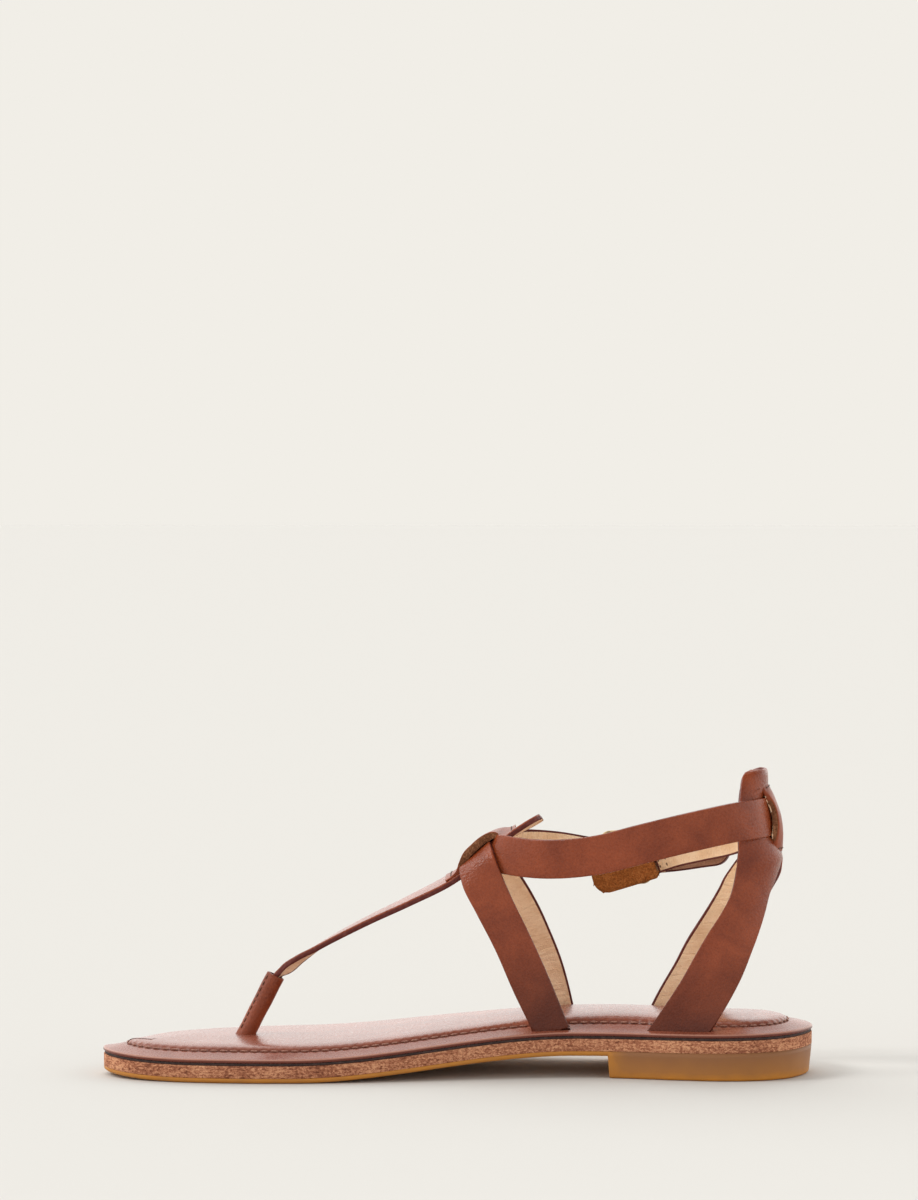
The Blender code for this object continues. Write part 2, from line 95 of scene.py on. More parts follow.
class NodeBench:
    """Lays out the nodes of one material."""

    def __init__(self, name: str) -> None:
        """Start a material.

        Args:
            name: The material's name.
        """
        self.material = bpy.data.materials.new(name)
        self.material.use_nodes = True
        self.tree = self.material.node_tree
        self.shader = self.tree.nodes["Principled BSDF"]

    def node(self, kind: str, **sockets: object) -> bpy.types.Node:
        """Add a node.

        Args:
            kind: Blender's name for the node type.
            **sockets: Values for its inputs, by name with underscores for spaces.

        Returns:
            The node.
        """
        made = self.tree.nodes.new(kind)
        for name, value in sockets.items():
            made.inputs[name.replace("_", " ")].default_value = value
        return made

    def join(self, source: bpy.types.NodeSocket, target: bpy.types.NodeSocket) -> None:
        """Link two sockets."""
        self.tree.links.new(source, target)

    def set(self, **sockets: object) -> None:
        """Set even values on the shader, by socket name with underscores for spaces."""
        for name, value in sockets.items():
            self.shader.inputs[name.replace("_", " ")].default_value = value

    def drive(self, socket: str, source: bpy.types.NodeSocket) -> None:
        """Feed a shader socket from a node."""
        self.join(source, self.shader.inputs[socket])

    def solid_place(self, stretch: tuple[float, float, float] = (1.0, 1.0, 1.0)) -> bpy.types.NodeSocket:
        """Object coordinates, stretched.

        Args:
            stretch: Scale along each axis; a larger value packs a pattern closer.

        Returns:
            The vector socket.
        """
        coords = self.node("ShaderNodeTexCoord")
        mapping = self.node("ShaderNodeMapping", Scale=stretch)
        self.join(coords.outputs["Object"], mapping.inputs["Vector"])
        return mapping.outputs["Vector"]

    def strap_place(self, stretch: tuple[float, float, float]) -> bpy.types.NodeSocket:
        """Coordinates along and across a strap, stretched.

        Args:
            stretch: Scale along and across the strap.

        Returns:
            The vector socket.
        """
        coords = self.node("ShaderNodeUVMap")
        coords.uv_map = "length"
        mapping = self.node("ShaderNodeMapping", Scale=stretch)
        self.join(coords.outputs["UV"], mapping.inputs["Vector"])
        return mapping.outputs["Vector"]

    def noise(self, place: bpy.types.NodeSocket, size: float, detail: float = 3.0,
              roughness: float = 0.55, warp: float = 0.0) -> bpy.types.NodeSocket:
        """Cloudy noise.

        Args:
            place: Where it is read.
            size: Size of its patches, in millimetres.
            detail: How many finer layers it has.
            roughness: How strong those are.
            warp: How far it is pulled out of shape.

        Returns:
            Its value, about 0.5 in the middle.
        """
        made = self.node("ShaderNodeTexNoise", Scale=1.0 / (size * MM), Detail=detail,
                         Roughness=roughness, Distortion=warp)
        self.join(place, made.inputs["Vector"])
        return made.outputs[0]

    def pores(self, place: bpy.types.NodeSocket, size: float) -> bpy.types.NodeSocket:
        """Cells of a grain.

        Args:
            place: Where they are read.
            size: Width of a cell, in millimetres.

        Returns:
            Distance from the middle of a cell.
        """
        made = self.node("ShaderNodeTexVoronoi", Scale=1.0 / (size * MM))
        self.join(place, made.inputs["Vector"])
        return made.outputs["Distance"]

    def span(self, value: bpy.types.NodeSocket, low: float, high: float,
             to_low: float, to_high: float) -> bpy.types.NodeSocket:
        """Stretch a value from one range to another.

        Args:
            value: The value.
            low: Low end of its range.
            high: High end of its range.
            to_low: What the low end becomes.
            to_high: What the high end becomes.

        Returns:
            The new value.
        """
        made = self.node("ShaderNodeMapRange", From_Min=low, From_Max=high, To_Min=to_low, To_Max=to_high)
        self.join(value, made.inputs["Value"])
        return made.outputs["Result"]

    def ramp(self, value: bpy.types.NodeSocket, *stops: tuple[float, Colour]) -> bpy.types.NodeSocket:
        """Colours along a value.

        Args:
            value: The value.
            *stops: Places along it with their colours.

        Returns:
            The colour socket.
        """
        made = self.node("ShaderNodeValToRGB")
        band = made.color_ramp.elements
        while len(band) < len(stops):
            band.new(0.5)
        for element, (place, colour) in zip(band, stops):
            element.position = place
            element.color = (*colour, 1.0)
        self.join(value, made.inputs["Fac"])
        return made.outputs["Color"]

    def tint(self, share: bpy.types.NodeSocket, first: bpy.types.NodeSocket,
             second: bpy.types.NodeSocket) -> bpy.types.NodeSocket:
        """Mix two colours.

        Args:
            share: How much of the second shows.
            first: First colour.
            second: Second colour.

        Returns:
            The mixed colour.
        """
        made = self.node("ShaderNodeMix")
        made.data_type = "RGBA"
        self.join(share, made.inputs[0])
        self.join(first, made.inputs[6])
        self.join(second, made.inputs[7])
        return made.outputs[2]

    def work_out(self, operation: str, *terms: bpy.types.NodeSocket | float) -> bpy.types.NodeSocket:
        """Work out a value from others.

        Args:
            operation: Blender's name for the operation.
            *terms: What it works on, as sockets or even numbers.

        Returns:
            The value.
        """
        made = self.node("ShaderNodeMath")
        made.operation = operation
        for term, taken in zip(terms, made.inputs):
            if isinstance(term, bpy.types.NodeSocket):
                self.join(term, taken)
            else:
                taken.default_value = term
        return made.outputs[0]

    def add(self, first: bpy.types.NodeSocket, second: bpy.types.NodeSocket,
            share: float) -> bpy.types.NodeSocket:
        """First value plus a share of the second."""
        return self.work_out("MULTIPLY_ADD", second, share, first)

    def times(self, first: bpy.types.NodeSocket, second: bpy.types.NodeSocket) -> bpy.types.NodeSocket:
        """One value times another."""
        return self.work_out("MULTIPLY", first, second)

    def even(self, colour: Colour) -> bpy.types.NodeSocket:
        """One colour, to be mixed with another.

        Args:
            colour: The colour.

        Returns:
            Its socket.
        """
        made = self.node("ShaderNodeRGB")
        made.outputs[0].default_value = (*colour, 1.0)
        return made.outputs[0]

    def relief(self, height: bpy.types.NodeSocket, depth: float) -> None:
        """Bump on the surface.

        Args:
            height: The pattern of heights.
            depth: Its depth, in millimetres.
        """
        made = self.node("ShaderNodeBump", Strength=1.0, Distance=depth * MM)
        self.join(height, made.inputs["Height"])
        self.drive("Normal", made.outputs["Normal"])


@dataclass(frozen=True)
class Finish:
    """A surface finish, made once and shared by the pieces that wear it."""

    name: str

    def material(self) -> bpy.types.Material:
        """The finish as a material.

        Returns:
            The material, which later calls share.
        """
        known = bpy.data.materials.get(self.name)
        if known is not None:
            return known
        bench = NodeBench(self.name)
        self.dress(bench)
        return bench.material

    def dress(self, bench: NodeBench) -> None:
        """Lay out the finish's nodes.

        Args:
            bench: The material being laid out.
        """


@dataclass(frozen=True)
class Hide(Finish):
    """Smooth waxed leather with cloudy colour and a fine grain."""

    deep: Colour
    warm: Colour
    roughness: float
    grain: float
    depth: float
    shine: float
    # foot: colour of the painted shade that darkens a strap towards the sole; then the span it fades over, in
    # millimetres along the strap, and its strongest share
    foot: Colour | None = None
    foot_shade_fade: tuple[float, float] = (15.0, 42.0)
    foot_shade_share: float = 0.75
    cloud_size: float = 14.0
    fleck_size: float = 0.9

    def dress(self, bench: NodeBench) -> None:
        """Lay out clouds, flecks, grain and gloss.

        Args:
            bench: The material being laid out.
        """
        place = bench.solid_place()
        clouds = bench.noise(place, self.cloud_size, 4.0, 0.6, 0.6)
        flecks = bench.noise(place, self.fleck_size, 4.0, 0.75)
        tone = bench.add(clouds, flecks, 0.5)
        hide = bench.ramp(tone, (0.50, self.deep), (1.0, self.warm))
        bench.drive("Base Color", self.paint_foot_shade(bench, hide) if self.foot else hide)
        bench.drive("Roughness", bench.span(flecks, 0.25, 0.75, self.roughness - 0.08, self.roughness + 0.1))
        grain = bench.add(bench.noise(place, 0.7, 3.0, 0.6), bench.pores(place, self.grain), 0.8)
        bench.relief(grain, self.depth)
        bench.set(Specular_IOR_Level=self.shine)

    def paint_foot_shade(self, bench: NodeBench, hide: bpy.types.NodeSocket) -> bpy.types.NodeSocket:
        """The hide with painted shade, darker towards the end that goes into the sole.

        Args:
            bench: The material being laid out.
            hide: Colour of the hide.

        Returns:
            The shaded colour.
        """
        split = bench.node("ShaderNodeSeparateXYZ")
        bench.join(bench.strap_place((1.0, 1.0, 1.0)), split.inputs[0])
        low, high = self.foot_shade_fade
        share = bench.span(split.outputs["X"], low * MM, high * MM, self.foot_shade_share, 0.0)
        return bench.tint(share, hide, bench.even(self.foot))


@dataclass(frozen=True)
class SockHide(Hide):
    """Footbed leather: dark at its cut edge, with painted shade in the seam groove and a crest lightened by
    wear and by a painted highlight, puckered by the stitches.
    """

    edge: Colour = (0.14, 0.036, 0.022)
    # colour of the crest, lightened by wear and by a painted highlight
    crest_wear_and_highlight: Colour = (0.42, 0.20, 0.145)
    # colour of the painted shade in the seam groove
    seam: Colour = (0.125, 0.036, 0.022)
    margin_shine: float = 0.18
    pitch: float = 3.5
    edge_at: float = 1.75
    seam_at: float = 10.6
    reach: float = 25.0
    # span of x, in millimetres, over which the painted seam shade fades in from the toe
    seam_shade_toe_fade: tuple[float, float] = (-110.0, -78.0)
    pucker: float = 0.11

    def dress(self, bench: NodeBench) -> None:
        """Lay out the hide, then its edge and crest, the painted shade in its seam and the puckers between
        stitches.

        Args:
            bench: The material being laid out.
        """
        super().dress(bench)
        place = bench.node("ShaderNodeUVMap")
        place.uv_map = "seam"
        split = bench.node("ShaderNodeSeparateXYZ")
        bench.join(place.outputs["UV"], split.inputs[0])
        inset = bench.span(split.outputs["Y"], 0.0, self.reach * MM, 0.0, 1.0)
        pull = self.stitch_wave(bench, split.outputs["X"])
        hide = self.shade(bench, inset, bench.shader.inputs["Base Color"].links[0].from_socket)
        at = self.seam_at / self.reach
        shine = bench.span(inset, at - 0.03, at + 0.04, self.margin_shine, self.shine)
        bench.drive("Specular IOR Level", shine)
        near = bench.ramp(inset, (at - 0.022, NONE), (at - 0.006, FULL), (at + 0.014, FULL),
                          (at + 0.05, NONE))
        where = bench.node("ShaderNodeSeparateXYZ")
        bench.join(bench.solid_place(), where.inputs[0])
        low, high = self.seam_shade_toe_fade
        seam_shade_past_toe = bench.span(where.outputs["X"], low * MM, high * MM, 0.0, 1.0)
        # painted shade in the seam groove, strongest between stitches and gone at the toe
        dark = bench.times(near, bench.times(seam_shade_past_toe, bench.span(pull, -1.0, 1.0, 0.35, 1.0)))
        bench.drive("Base Color", bench.tint(dark, hide, bench.even(self.seam)))
        wide = bench.ramp(inset, (at - 0.09, NONE), (at + 0.01, FULL), (at + 0.12, NONE))
        grain = bench.shader.inputs["Normal"].links[0].from_node
        pucker = bench.node("ShaderNodeBump", Strength=1.0, Distance=self.pucker * MM)
        bench.join(bench.times(wide, pull), pucker.inputs["Height"])
        bench.join(grain.outputs["Normal"], pucker.inputs["Normal"])
        bench.drive("Normal", pucker.outputs["Normal"])

    def stitch_wave(self, bench: NodeBench, along: bpy.types.NodeSocket) -> bpy.types.NodeSocket:
        """A wave along the seam, highest between two stitches."""
        turns = 2 * math.pi / (self.pitch * MM)
        return bench.work_out("COSINE", bench.work_out("MULTIPLY", along, turns))

    def shade(self, bench: NodeBench, inset: bpy.types.NodeSocket,
              hide: bpy.types.NodeSocket) -> bpy.types.NodeSocket:
        """The hide with its dark cut edge and a crest lightened by wear and by a painted highlight.

        Args:
            bench: The material being laid out.
            inset: Distance up and in from the lower edge, as a share of the reach.
            hide: Colour of the hide.

        Returns:
            The shaded colour.
        """
        at = self.edge_at / self.reach
        share = bench.ramp(inset, (at + 0.016, FULL), (at + 0.05, NONE))
        band = bench.ramp(inset, (at - 0.006, self.edge), (at + 0.012, self.crest_wear_and_highlight))
        return bench.tint(share, hide, band)


@dataclass(frozen=True)
class Lining(Finish):
    """Pale undyed leather with fine creases across the strap."""

    pale: Colour
    shade: Colour

    def dress(self, bench: NodeBench) -> None:
        """Lay out mottling and creases, the creases also as painted shade in the colour.

        Args:
            bench: The material being laid out.
        """
        place = bench.solid_place()
        mottle = bench.add(bench.noise(place, 9.0, 3.0), bench.noise(place, 0.8, 3.0, 0.6), 0.35)
        creases = bench.noise(bench.strap_place((1.0, 0.14, 1.0)), 1.6, 3.0, 0.55, 0.6)
        # the creases darken and lighten the colour as painted shade in the folds
        tone = bench.add(mottle, creases, 0.5)
        bench.drive("Base Color", bench.ramp(tone, (0.70, self.shade), (1.0, self.pale)))
        bench.relief(bench.add(creases, bench.pores(place, 0.5), 0.2), 0.6)
        bench.set(Roughness=0.72, Specular_IOR_Level=0.3)


@dataclass(frozen=True)
class Painted(Finish):
    """A dark cut edge, sealed with paint."""

    colour: Colour
    worn: Colour
    roughness: float = 0.38

    def dress(self, bench: NodeBench) -> None:
        """Lay out paint with worn spots.

        Args:
            bench: The material being laid out.
        """
        place = bench.solid_place()
        wear = bench.noise(place, 1.6, 4.0, 0.65)
        bench.drive("Base Color", bench.ramp(wear, (0.45, self.colour), (0.78, self.worn)))
        bench.relief(bench.noise(place, 0.7, 3.0), 0.05)
        bench.set(Roughness=self.roughness, Specular_IOR_Level=0.22)


@dataclass(frozen=True)
class Suede(Finish):
    """Napped flesh side, speckled light and dark."""

    dark: Colour
    mid: Colour
    light: Colour

    def dress(self, bench: NodeBench) -> None:
        """Lay out nap and speckles.

        Args:
            bench: The material being laid out.
        """
        place = bench.solid_place()
        nap = bench.noise(place, 0.55, 5.0, 0.75)
        patch = bench.noise(place, 4.0, 2.0)
        tone = bench.add(nap, patch, 0.3)
        bench.drive("Base Color", bench.ramp(tone, (0.45, self.dark), (0.64, self.mid), (0.86, self.light)))
        bench.relief(nap, 0.35)
        bench.set(Roughness=0.95, Specular_IOR_Level=0.1, Sheen_Weight=0.25, Sheen_Roughness=0.5,
                  Sheen_Tint=(0.9, 0.55, 0.3, 1.0))


@dataclass(frozen=True)
class Fibre(Finish):
    """Bonded leather fibres, mottled, with faint layers along the edge."""

    dark: Colour
    mid: Colour
    light: Colour

    def dress(self, bench: NodeBench) -> None:
        """Lay out speckles, layers and a rough cut face.

        Args:
            bench: The material being laid out.
        """
        place = bench.solid_place()
        speck = bench.noise(bench.solid_place((0.6, 0.6, 1.0)), 0.65, 5.0, 0.8, 0.4)
        layer = bench.noise(bench.solid_place((0.05, 0.05, 1.0)), 0.55, 3.0, 0.6)
        patch = bench.noise(place, 12.0, 2.0)
        tone = bench.add(bench.add(speck, layer, 0.22), patch, 0.22)
        bench.drive("Base Color", bench.ramp(tone, (0.58, self.dark), (0.71, self.mid), (0.83, self.light)))
        bench.relief(bench.add(speck, layer, 0.4), 0.2)
        bench.set(Roughness=0.88, Specular_IOR_Level=0.18)


@dataclass(frozen=True)
class Gum(Finish):
    """Honey gum rubber with painted glow of light through it: bright at thin edges, browner up the heel."""

    edge: Colour
    honey: Colour
    brown: Colour

    def dress(self, bench: NodeBench) -> None:
        """Lay out the painted glow that changes the colour up the heel, and a faint moulded texture.

        Args:
            bench: The material being laid out.
        """
        rise = bench.node("ShaderNodeAttribute")
        rise.attribute_name = "rise"
        place = bench.solid_place()
        cloud = bench.span(bench.noise(place, 7.0), 0.3, 0.7, -0.5, 0.5)
        glow_tone = bench.add(rise.outputs["Fac"], cloud, 0.12)
        bench.drive("Base Color", bench.ramp(glow_tone, (0.02, self.edge), (0.3, self.honey), (0.85, self.brown)))
        bench.relief(bench.noise(place, 0.9, 3.0), 0.03)
        bench.set(Roughness=0.5, Specular_IOR_Level=0.25)


@dataclass(frozen=True)
class Brass(Finish):
    """Aged brass with patches of tarnish."""

    bright: Colour
    aged: Colour

    def dress(self, bench: NodeBench) -> None:
        """Lay out tarnish and fine wear.

        Args:
            bench: The material being laid out.
        """
        place = bench.solid_place()
        tarnish = bench.noise(place, 2.2, 4.0, 0.6)
        bench.drive("Base Color", bench.ramp(tarnish, (0.4, self.aged), (0.66, self.bright)))
        bench.drive("Roughness", bench.span(tarnish, 0.3, 0.7, 0.42, 0.24))
        bench.relief(bench.noise(place, 0.5, 3.0), 0.012)
        bench.set(Metallic=1.0)


@dataclass(frozen=True)
class Thread(Finish):
    """Waxed sewing thread, twisted."""

    colour: Colour
    light: Colour

    def dress(self, bench: NodeBench) -> None:
        """Lay out the twist of the thread.

        Args:
            bench: The material being laid out.
        """
        twist = bench.noise(bench.solid_place((1.0, 1.0, 0.5)), 0.3, 3.0, 0.6)
        bench.drive("Base Color", bench.ramp(twist, (0.4, self.colour), (0.7, self.light)))
        bench.relief(twist, 0.08)
        bench.set(Roughness=0.6, Specular_IOR_Level=0.35)


@dataclass(frozen=True)
class Paper(Finish):
    """Plain pale floor."""

    colour: Colour

    def dress(self, bench: NodeBench) -> None:
        """Set one even matt colour.

        Args:
            bench: The material being laid out.
        """
        bench.set(Base_Color=(*self.colour, 1.0), Roughness=1.0, Specular_IOR_Level=0.0)


# The strap hide's foot colour is painted shade, darkest where each strap goes into the sole.
STRAP_HIDE = Hide("strap hide", (0.158, 0.025, 0.006), (0.305, 0.062, 0.019), 0.27, 0.8, 0.12, shine=0.31,
                  foot=(0.055, 0.008, 0.003))
LOOP_HIDE = Hide("loop hide", (0.165, 0.029, 0.009), (0.315, 0.068, 0.024), 0.38, 0.8, 0.12, shine=0.18)
SOCK_HIDE = SockHide("sock hide", (0.20, 0.05, 0.027), (0.30, 0.092, 0.055), 0.27, 0.7, 0.03, shine=0.40)
POST_HIDE = Hide("post hide", (0.14, 0.025, 0.009), (0.30, 0.069, 0.026), 0.32, 0.8, 0.12, shine=0.25)
PALE_LINING = Lining("pale lining", (0.94, 0.70, 0.475), (0.82, 0.555, 0.34))
# A darker lining for a strap's tail: painted shade behind the buckle.
SHADED_TAIL_LINING = Lining("shaded tail lining", (0.66, 0.38, 0.25), (0.50, 0.27, 0.17))
EDGE_PAINT = Painted("edge paint", (0.115, 0.025, 0.020), (0.20, 0.056, 0.045), 0.5)
BOARD_EDGE = Painted("board edge", (0.042, 0.026, 0.024), (0.10, 0.06, 0.053), 0.65)
BROWN_SUEDE = Suede("brown suede", (0.115, 0.033, 0.007), (0.29, 0.090, 0.020), (0.50, 0.19, 0.06))
RAW_EDGE = Suede("raw edge", (0.06, 0.020, 0.009), (0.20, 0.075, 0.034), (0.44, 0.21, 0.11))
MIDSOLE_FIBRE = Fibre("midsole fibre", (0.15, 0.048, 0.026), (0.41, 0.155, 0.082), (0.70, 0.36, 0.20))
HONEY_GUM = Gum("honey gum", (0.58, 0.235, 0.033), (0.38, 0.16, 0.043), (0.275, 0.12, 0.049))
AGED_BRASS = Brass("aged brass", (0.52, 0.38, 0.19), (0.20, 0.13, 0.06))
SOCK_THREAD = Thread("sock thread", (0.24, 0.09, 0.062), (0.50, 0.27, 0.20))
DARK_THREAD = Thread("dark thread", (0.045, 0.018, 0.01), (0.16, 0.07, 0.04))
FLOOR_PAPER = Paper("floor paper", (0.667, 0.658, 0.632))


# Shared geometry


def unit(vectors: np.ndarray) -> np.ndarray:
    """Vectors of length one."""
    return vectors / np.linalg.norm(vectors, axis=-1, keepdims=True)


def smooth_step(values: np.ndarray) -> np.ndarray:
    """Ease values from 0 to 1."""
    held = np.clip(values, 0.0, 1.0)
    return held * held * (3.0 - 2.0 * held)


def reach_along(points: np.ndarray) -> np.ndarray:
    """Distance of each point along the line that the points make."""
    return np.concatenate(((0.0,), np.cumsum(np.linalg.norm(np.diff(points, axis=0), axis=1))))


def through(knots: np.ndarray, rows: np.ndarray, at: np.ndarray) -> np.ndarray:
    """Read a smooth curve that passes through every row.

    Args:
        knots: Where the rows lie along the curve.
        rows: The values there.
        at: The places to read.

    Returns:
        The values at those places.
    """
    slopes = np.gradient(rows, knots, axis=0)
    index = np.clip(np.searchsorted(knots, at, "right") - 1, 0, len(knots) - 2)
    gap = (knots[index + 1] - knots[index])[:, None]
    t = (at - knots[index])[:, None] / gap
    start = (2 * t ** 3 - 3 * t ** 2 + 1) * rows[index] + (t ** 3 - 2 * t ** 2 + t) * gap * slopes[index]
    end = (3 * t ** 2 - 2 * t ** 3) * rows[index + 1] + (t ** 3 - t ** 2) * gap * slopes[index + 1]
    return start + end


def new_verts(made: dict[str, list]) -> list[bmesh.types.BMVert]:
    """The vertices that an operator added."""
    return [item for item in made["geom"] if isinstance(item, bmesh.types.BMVert)]


def extrude_ring(shape: bmesh.types.BMesh, edges: list[bmesh.types.BMEdge],
                 ) -> tuple[list[bmesh.types.BMVert], list[bmesh.types.BMEdge]]:
    """Draw a new ring out of a ring of edges.

    Args:
        shape: The mesh being built.
        edges: The ring's edges.

    Returns:
        The new ring's vertices and edges.
    """
    made = bmesh.ops.extrude_edge_only(shape, edges=edges)
    verts = new_verts(made)
    fresh = set(verts)
    ring = [e for e in made["geom"] if isinstance(e, bmesh.types.BMEdge) and set(e.verts) <= fresh]
    return verts, ring


def ease_rims(shape: bmesh.types.BMesh, size: float, turned: Skin) -> None:
    """Round a walled sheet's edges over.

    Args:
        shape: The sheet, with its faces marked.
        size: How far the rounding reaches, in millimetres.
        turned: Which finish the rounding takes on the inner side.
    """
    for side, worn in ((Skin.INNER, turned.value), (Skin.OUTER, Skin.OUTER.value)):
        bmesh.ops.bevel(shape, geom=rim_edges(shape, side), offset=size, offset_type="OFFSET", segments=3,
                        profile=0.5, affect="EDGES", material=worn, clamp_overlap=False)


def thicken(shape: bmesh.types.BMesh, centre: Vector, wall: float, eased: float) -> None:
    """Give an open sheet a wall on its inner side, with rounded rims.

    Args:
        shape: The sheet.
        centre: A point on the sheet's inner side.
        wall: Thickness, in millimetres.
        eased: Rounding of the rims, in millimetres.
    """
    bmesh.ops.recalc_face_normals(shape, faces=shape.faces)
    away = sum(f.normal.dot(f.calc_center_median() - centre) * f.calc_area() for f in shape.faces)
    if away < 0:
        bmesh.ops.reverse_faces(shape, faces=shape.faces)
    out = shape.verts.layers.float_vector.new("out")
    shape.normal_update()
    for vert in shape.verts:
        vert[out] = vert.normal
    made = bmesh.ops.extrude_face_region(shape, geom=shape.faces[:], use_keep_orig=True)
    inner = set(new_verts(made))
    for vert in inner:
        vert.co -= vert[out] * wall
    wear_skins(shape, inner)
    ease_rims(shape, eased, Skin.RIM)
    lap_paint(shape)
    bmesh.ops.recalc_face_normals(shape, faces=shape.faces)


def lap_paint(shape: bmesh.types.BMesh) -> None:
    """Carry the rim's paint onto the outermost faces of the inner side.

    Args:
        shape: The sheet, with its faces marked.
    """
    rim = {face for face in shape.faces if face.material_index == Skin.RIM.value}
    inner = [face for face in shape.faces if face.material_index == Skin.INNER.value]
    for face in inner:
        if any(rim.intersection(edge.link_faces) for edge in face.edges):
            face.material_index = Skin.RIM.value


def wear_skins(shape: bmesh.types.BMesh, inner: set[bmesh.types.BMVert]) -> None:
    """Mark each face of a walled sheet as outer, inner or rim.

    Args:
        shape: The sheet.
        inner: The vertices of its inner side.
    """
    for face in shape.faces:
        count = sum(vert in inner for vert in face.verts)
        skin = Skin.OUTER if count == 0 else Skin.INNER if count == len(face.verts) else Skin.RIM
        face.material_index = skin.value


def rim_edges(shape: bmesh.types.BMesh, side: Skin) -> list[bmesh.types.BMEdge]:
    """The edges where a sheet's rim meets one of its sides."""
    wanted = {side.value, Skin.RIM.value}
    return [e for e in shape.edges if {face.material_index for face in e.link_faces} == wanted]


def close_ends(shape: bmesh.types.BMesh) -> None:
    """Fill a tube's open ends and turn its faces outwards."""
    bmesh.ops.holes_fill(shape, edges=[e for e in shape.edges if e.is_boundary], sides=0)
    bmesh.ops.recalc_face_normals(shape, faces=shape.faces)


def sweep(path: np.ndarray, radii: np.ndarray, sides: int, spin: np.ndarray,
          closed: bool) -> bmesh.types.BMesh:
    """Draw a round wire along a path.

    Args:
        path: Points of its middle line.
        radii: Its radius at each point.
        sides: Faces around it.
        spin: An axis square to the path.
        closed: Whether it ends where it starts.

    Returns:
        The wire's mesh.
    """
    if closed:
        along = unit(np.roll(path, -1, axis=0) - np.roll(path, 1, axis=0))
    else:
        along = unit(np.gradient(path, axis=0))
    first = unit(np.cross(along, spin))
    second = np.cross(along, first)
    shape = bmesh.new()
    spoke = shape.verts.layers.float.new("spoke")
    for vert in bmesh.ops.create_circle(shape, segments=sides, radius=1.0)["verts"]:
        vert[spoke] = math.atan2(vert.co.y, vert.co.x)
    verts, edges = shape.verts[:], shape.edges[:]
    stops = list(range(len(path))) + ([0] if closed else [])
    for count, i in enumerate(stops):
        if count:
            verts, edges = extrude_ring(shape, edges)
        for vert in verts:
            turn = math.cos(vert[spoke]) * first[i] + math.sin(vert[spoke]) * second[i]
            vert.co = path[i] + radii[i] * turn
    bmesh.ops.remove_doubles(shape, verts=shape.verts, dist=1e-4)
    close_ends(shape)
    return shape


def new_object(name: str, shape: bmesh.types.BMesh) -> bpy.types.Object:
    """A shape as a new object of the scene.

    Args:
        name: The object's name.
        shape: The shape, which is freed.

    Returns:
        The object.
    """
    mesh = bpy.data.meshes.new(name)
    shape.to_mesh(mesh)
    shape.free()
    made = bpy.data.objects.new(name, mesh)
    bpy.context.scene.collection.objects.link(made)
    return made


def make_piece(name: str, shape: bmesh.types.BMesh, *finishes: Finish) -> bpy.types.Object:
    """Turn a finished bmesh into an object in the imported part's frame.

    Args:
        name: The piece's name.
        shape: Its mesh in millimetres, which is freed.
        *finishes: Its finishes, in the order of its faces' material numbers.

    Returns:
        The object.
    """
    bmesh.ops.translate(shape, verts=shape.verts, vec=(0.0, -SIDE_MIDDLE, 0.0))
    bmesh.ops.scale(shape, verts=shape.verts, vec=(MM, MM, MM))
    for face in shape.faces:
        face.smooth = True
    piece = new_object(name, shape)
    for finish in finishes:
        piece.data.materials.append(finish.material())
    return piece


def settle(piece: bpy.types.Object, slot: Slot, *nodes: str) -> bpy.types.Object:
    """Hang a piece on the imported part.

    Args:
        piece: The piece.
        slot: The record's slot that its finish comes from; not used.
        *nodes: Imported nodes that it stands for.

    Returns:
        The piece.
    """
    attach(piece, BODY)
    if nodes:
        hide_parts(*nodes)
    LOG.info("%s: %d faces", piece.name, len(piece.data.polygons))
    return piece


def carve(shape: bmesh.types.BMesh, cutters: list[bmesh.types.BMesh]) -> bmesh.types.BMesh:
    """Cut closed shapes out of a closed shape.

    Args:
        shape: The shape, which is freed.
        cutters: The shapes to cut out, which are freed.

    Returns:
        What is left.
    """
    whole = new_object("carved", shape)
    for number, cutter in enumerate(cutters):
        step = whole.modifiers.new(f"cut_{number}", "BOOLEAN")
        step.operation = "DIFFERENCE"
        step.solver = "MANIFOLD"
        step.object = new_object(step.name, cutter)
    bpy.context.view_layer.update()
    cut = bpy.data.meshes.new_from_object(whole.evaluated_get(bpy.context.evaluated_depsgraph_get()))
    left = bmesh.new()
    left.from_mesh(cut)
    for used in [step.object for step in whole.modifiers] + [whole]:
        bpy.data.meshes.remove(used.data)
    bpy.data.meshes.remove(cut)
    return left


# Stitches


@dataclass(frozen=True)
class Seam:
    """A row of stitches."""

    pitch: float
    length: float
    width: float
    height: float

    def sew(self, shape: bmesh.types.BMesh, line: np.ndarray, normals: np.ndarray) -> None:
        """Lay stitches along a line.

        Args:
            shape: The mesh that takes them.
            line: Points of the line.
            normals: The way out of the surface at each point.
        """
        reach = reach_along(line)
        count = max(1, int(round(reach[-1] / self.pitch)))
        for place in (np.arange(count) + 0.5) * reach[-1] / count:
            ends = [self.read(reach, line, place + side * self.length / 2) for side in (-1, 1)]
            out = unit(self.read(reach, normals, place))
            along = unit(ends[1] - ends[0])
            across = unit(np.cross(out, along))
            out = np.cross(along, across)
            turn = Matrix(np.column_stack((along * self.length / 2, across * self.width / 2,
                                           out * self.height / 2)).tolist()).to_4x4()
            turn.translation = (ends[0] + ends[1]) / 2
            bmesh.ops.create_uvsphere(shape, u_segments=8, v_segments=6, radius=1.0,
                                      matrix=turn @ Matrix.Rotation(math.pi / 2, 4, "Y"))

    @staticmethod
    def read(reach: np.ndarray, values: np.ndarray, place: float) -> np.ndarray:
        """Values at a place along a line.

        Args:
            reach: Distance along the line of each value.
            values: Values along the line.
            place: The distance to read at.

        Returns:
            The value there.
        """
        return np.array([np.interp(place, reach, values[:, k]) for k in range(values.shape[1])])


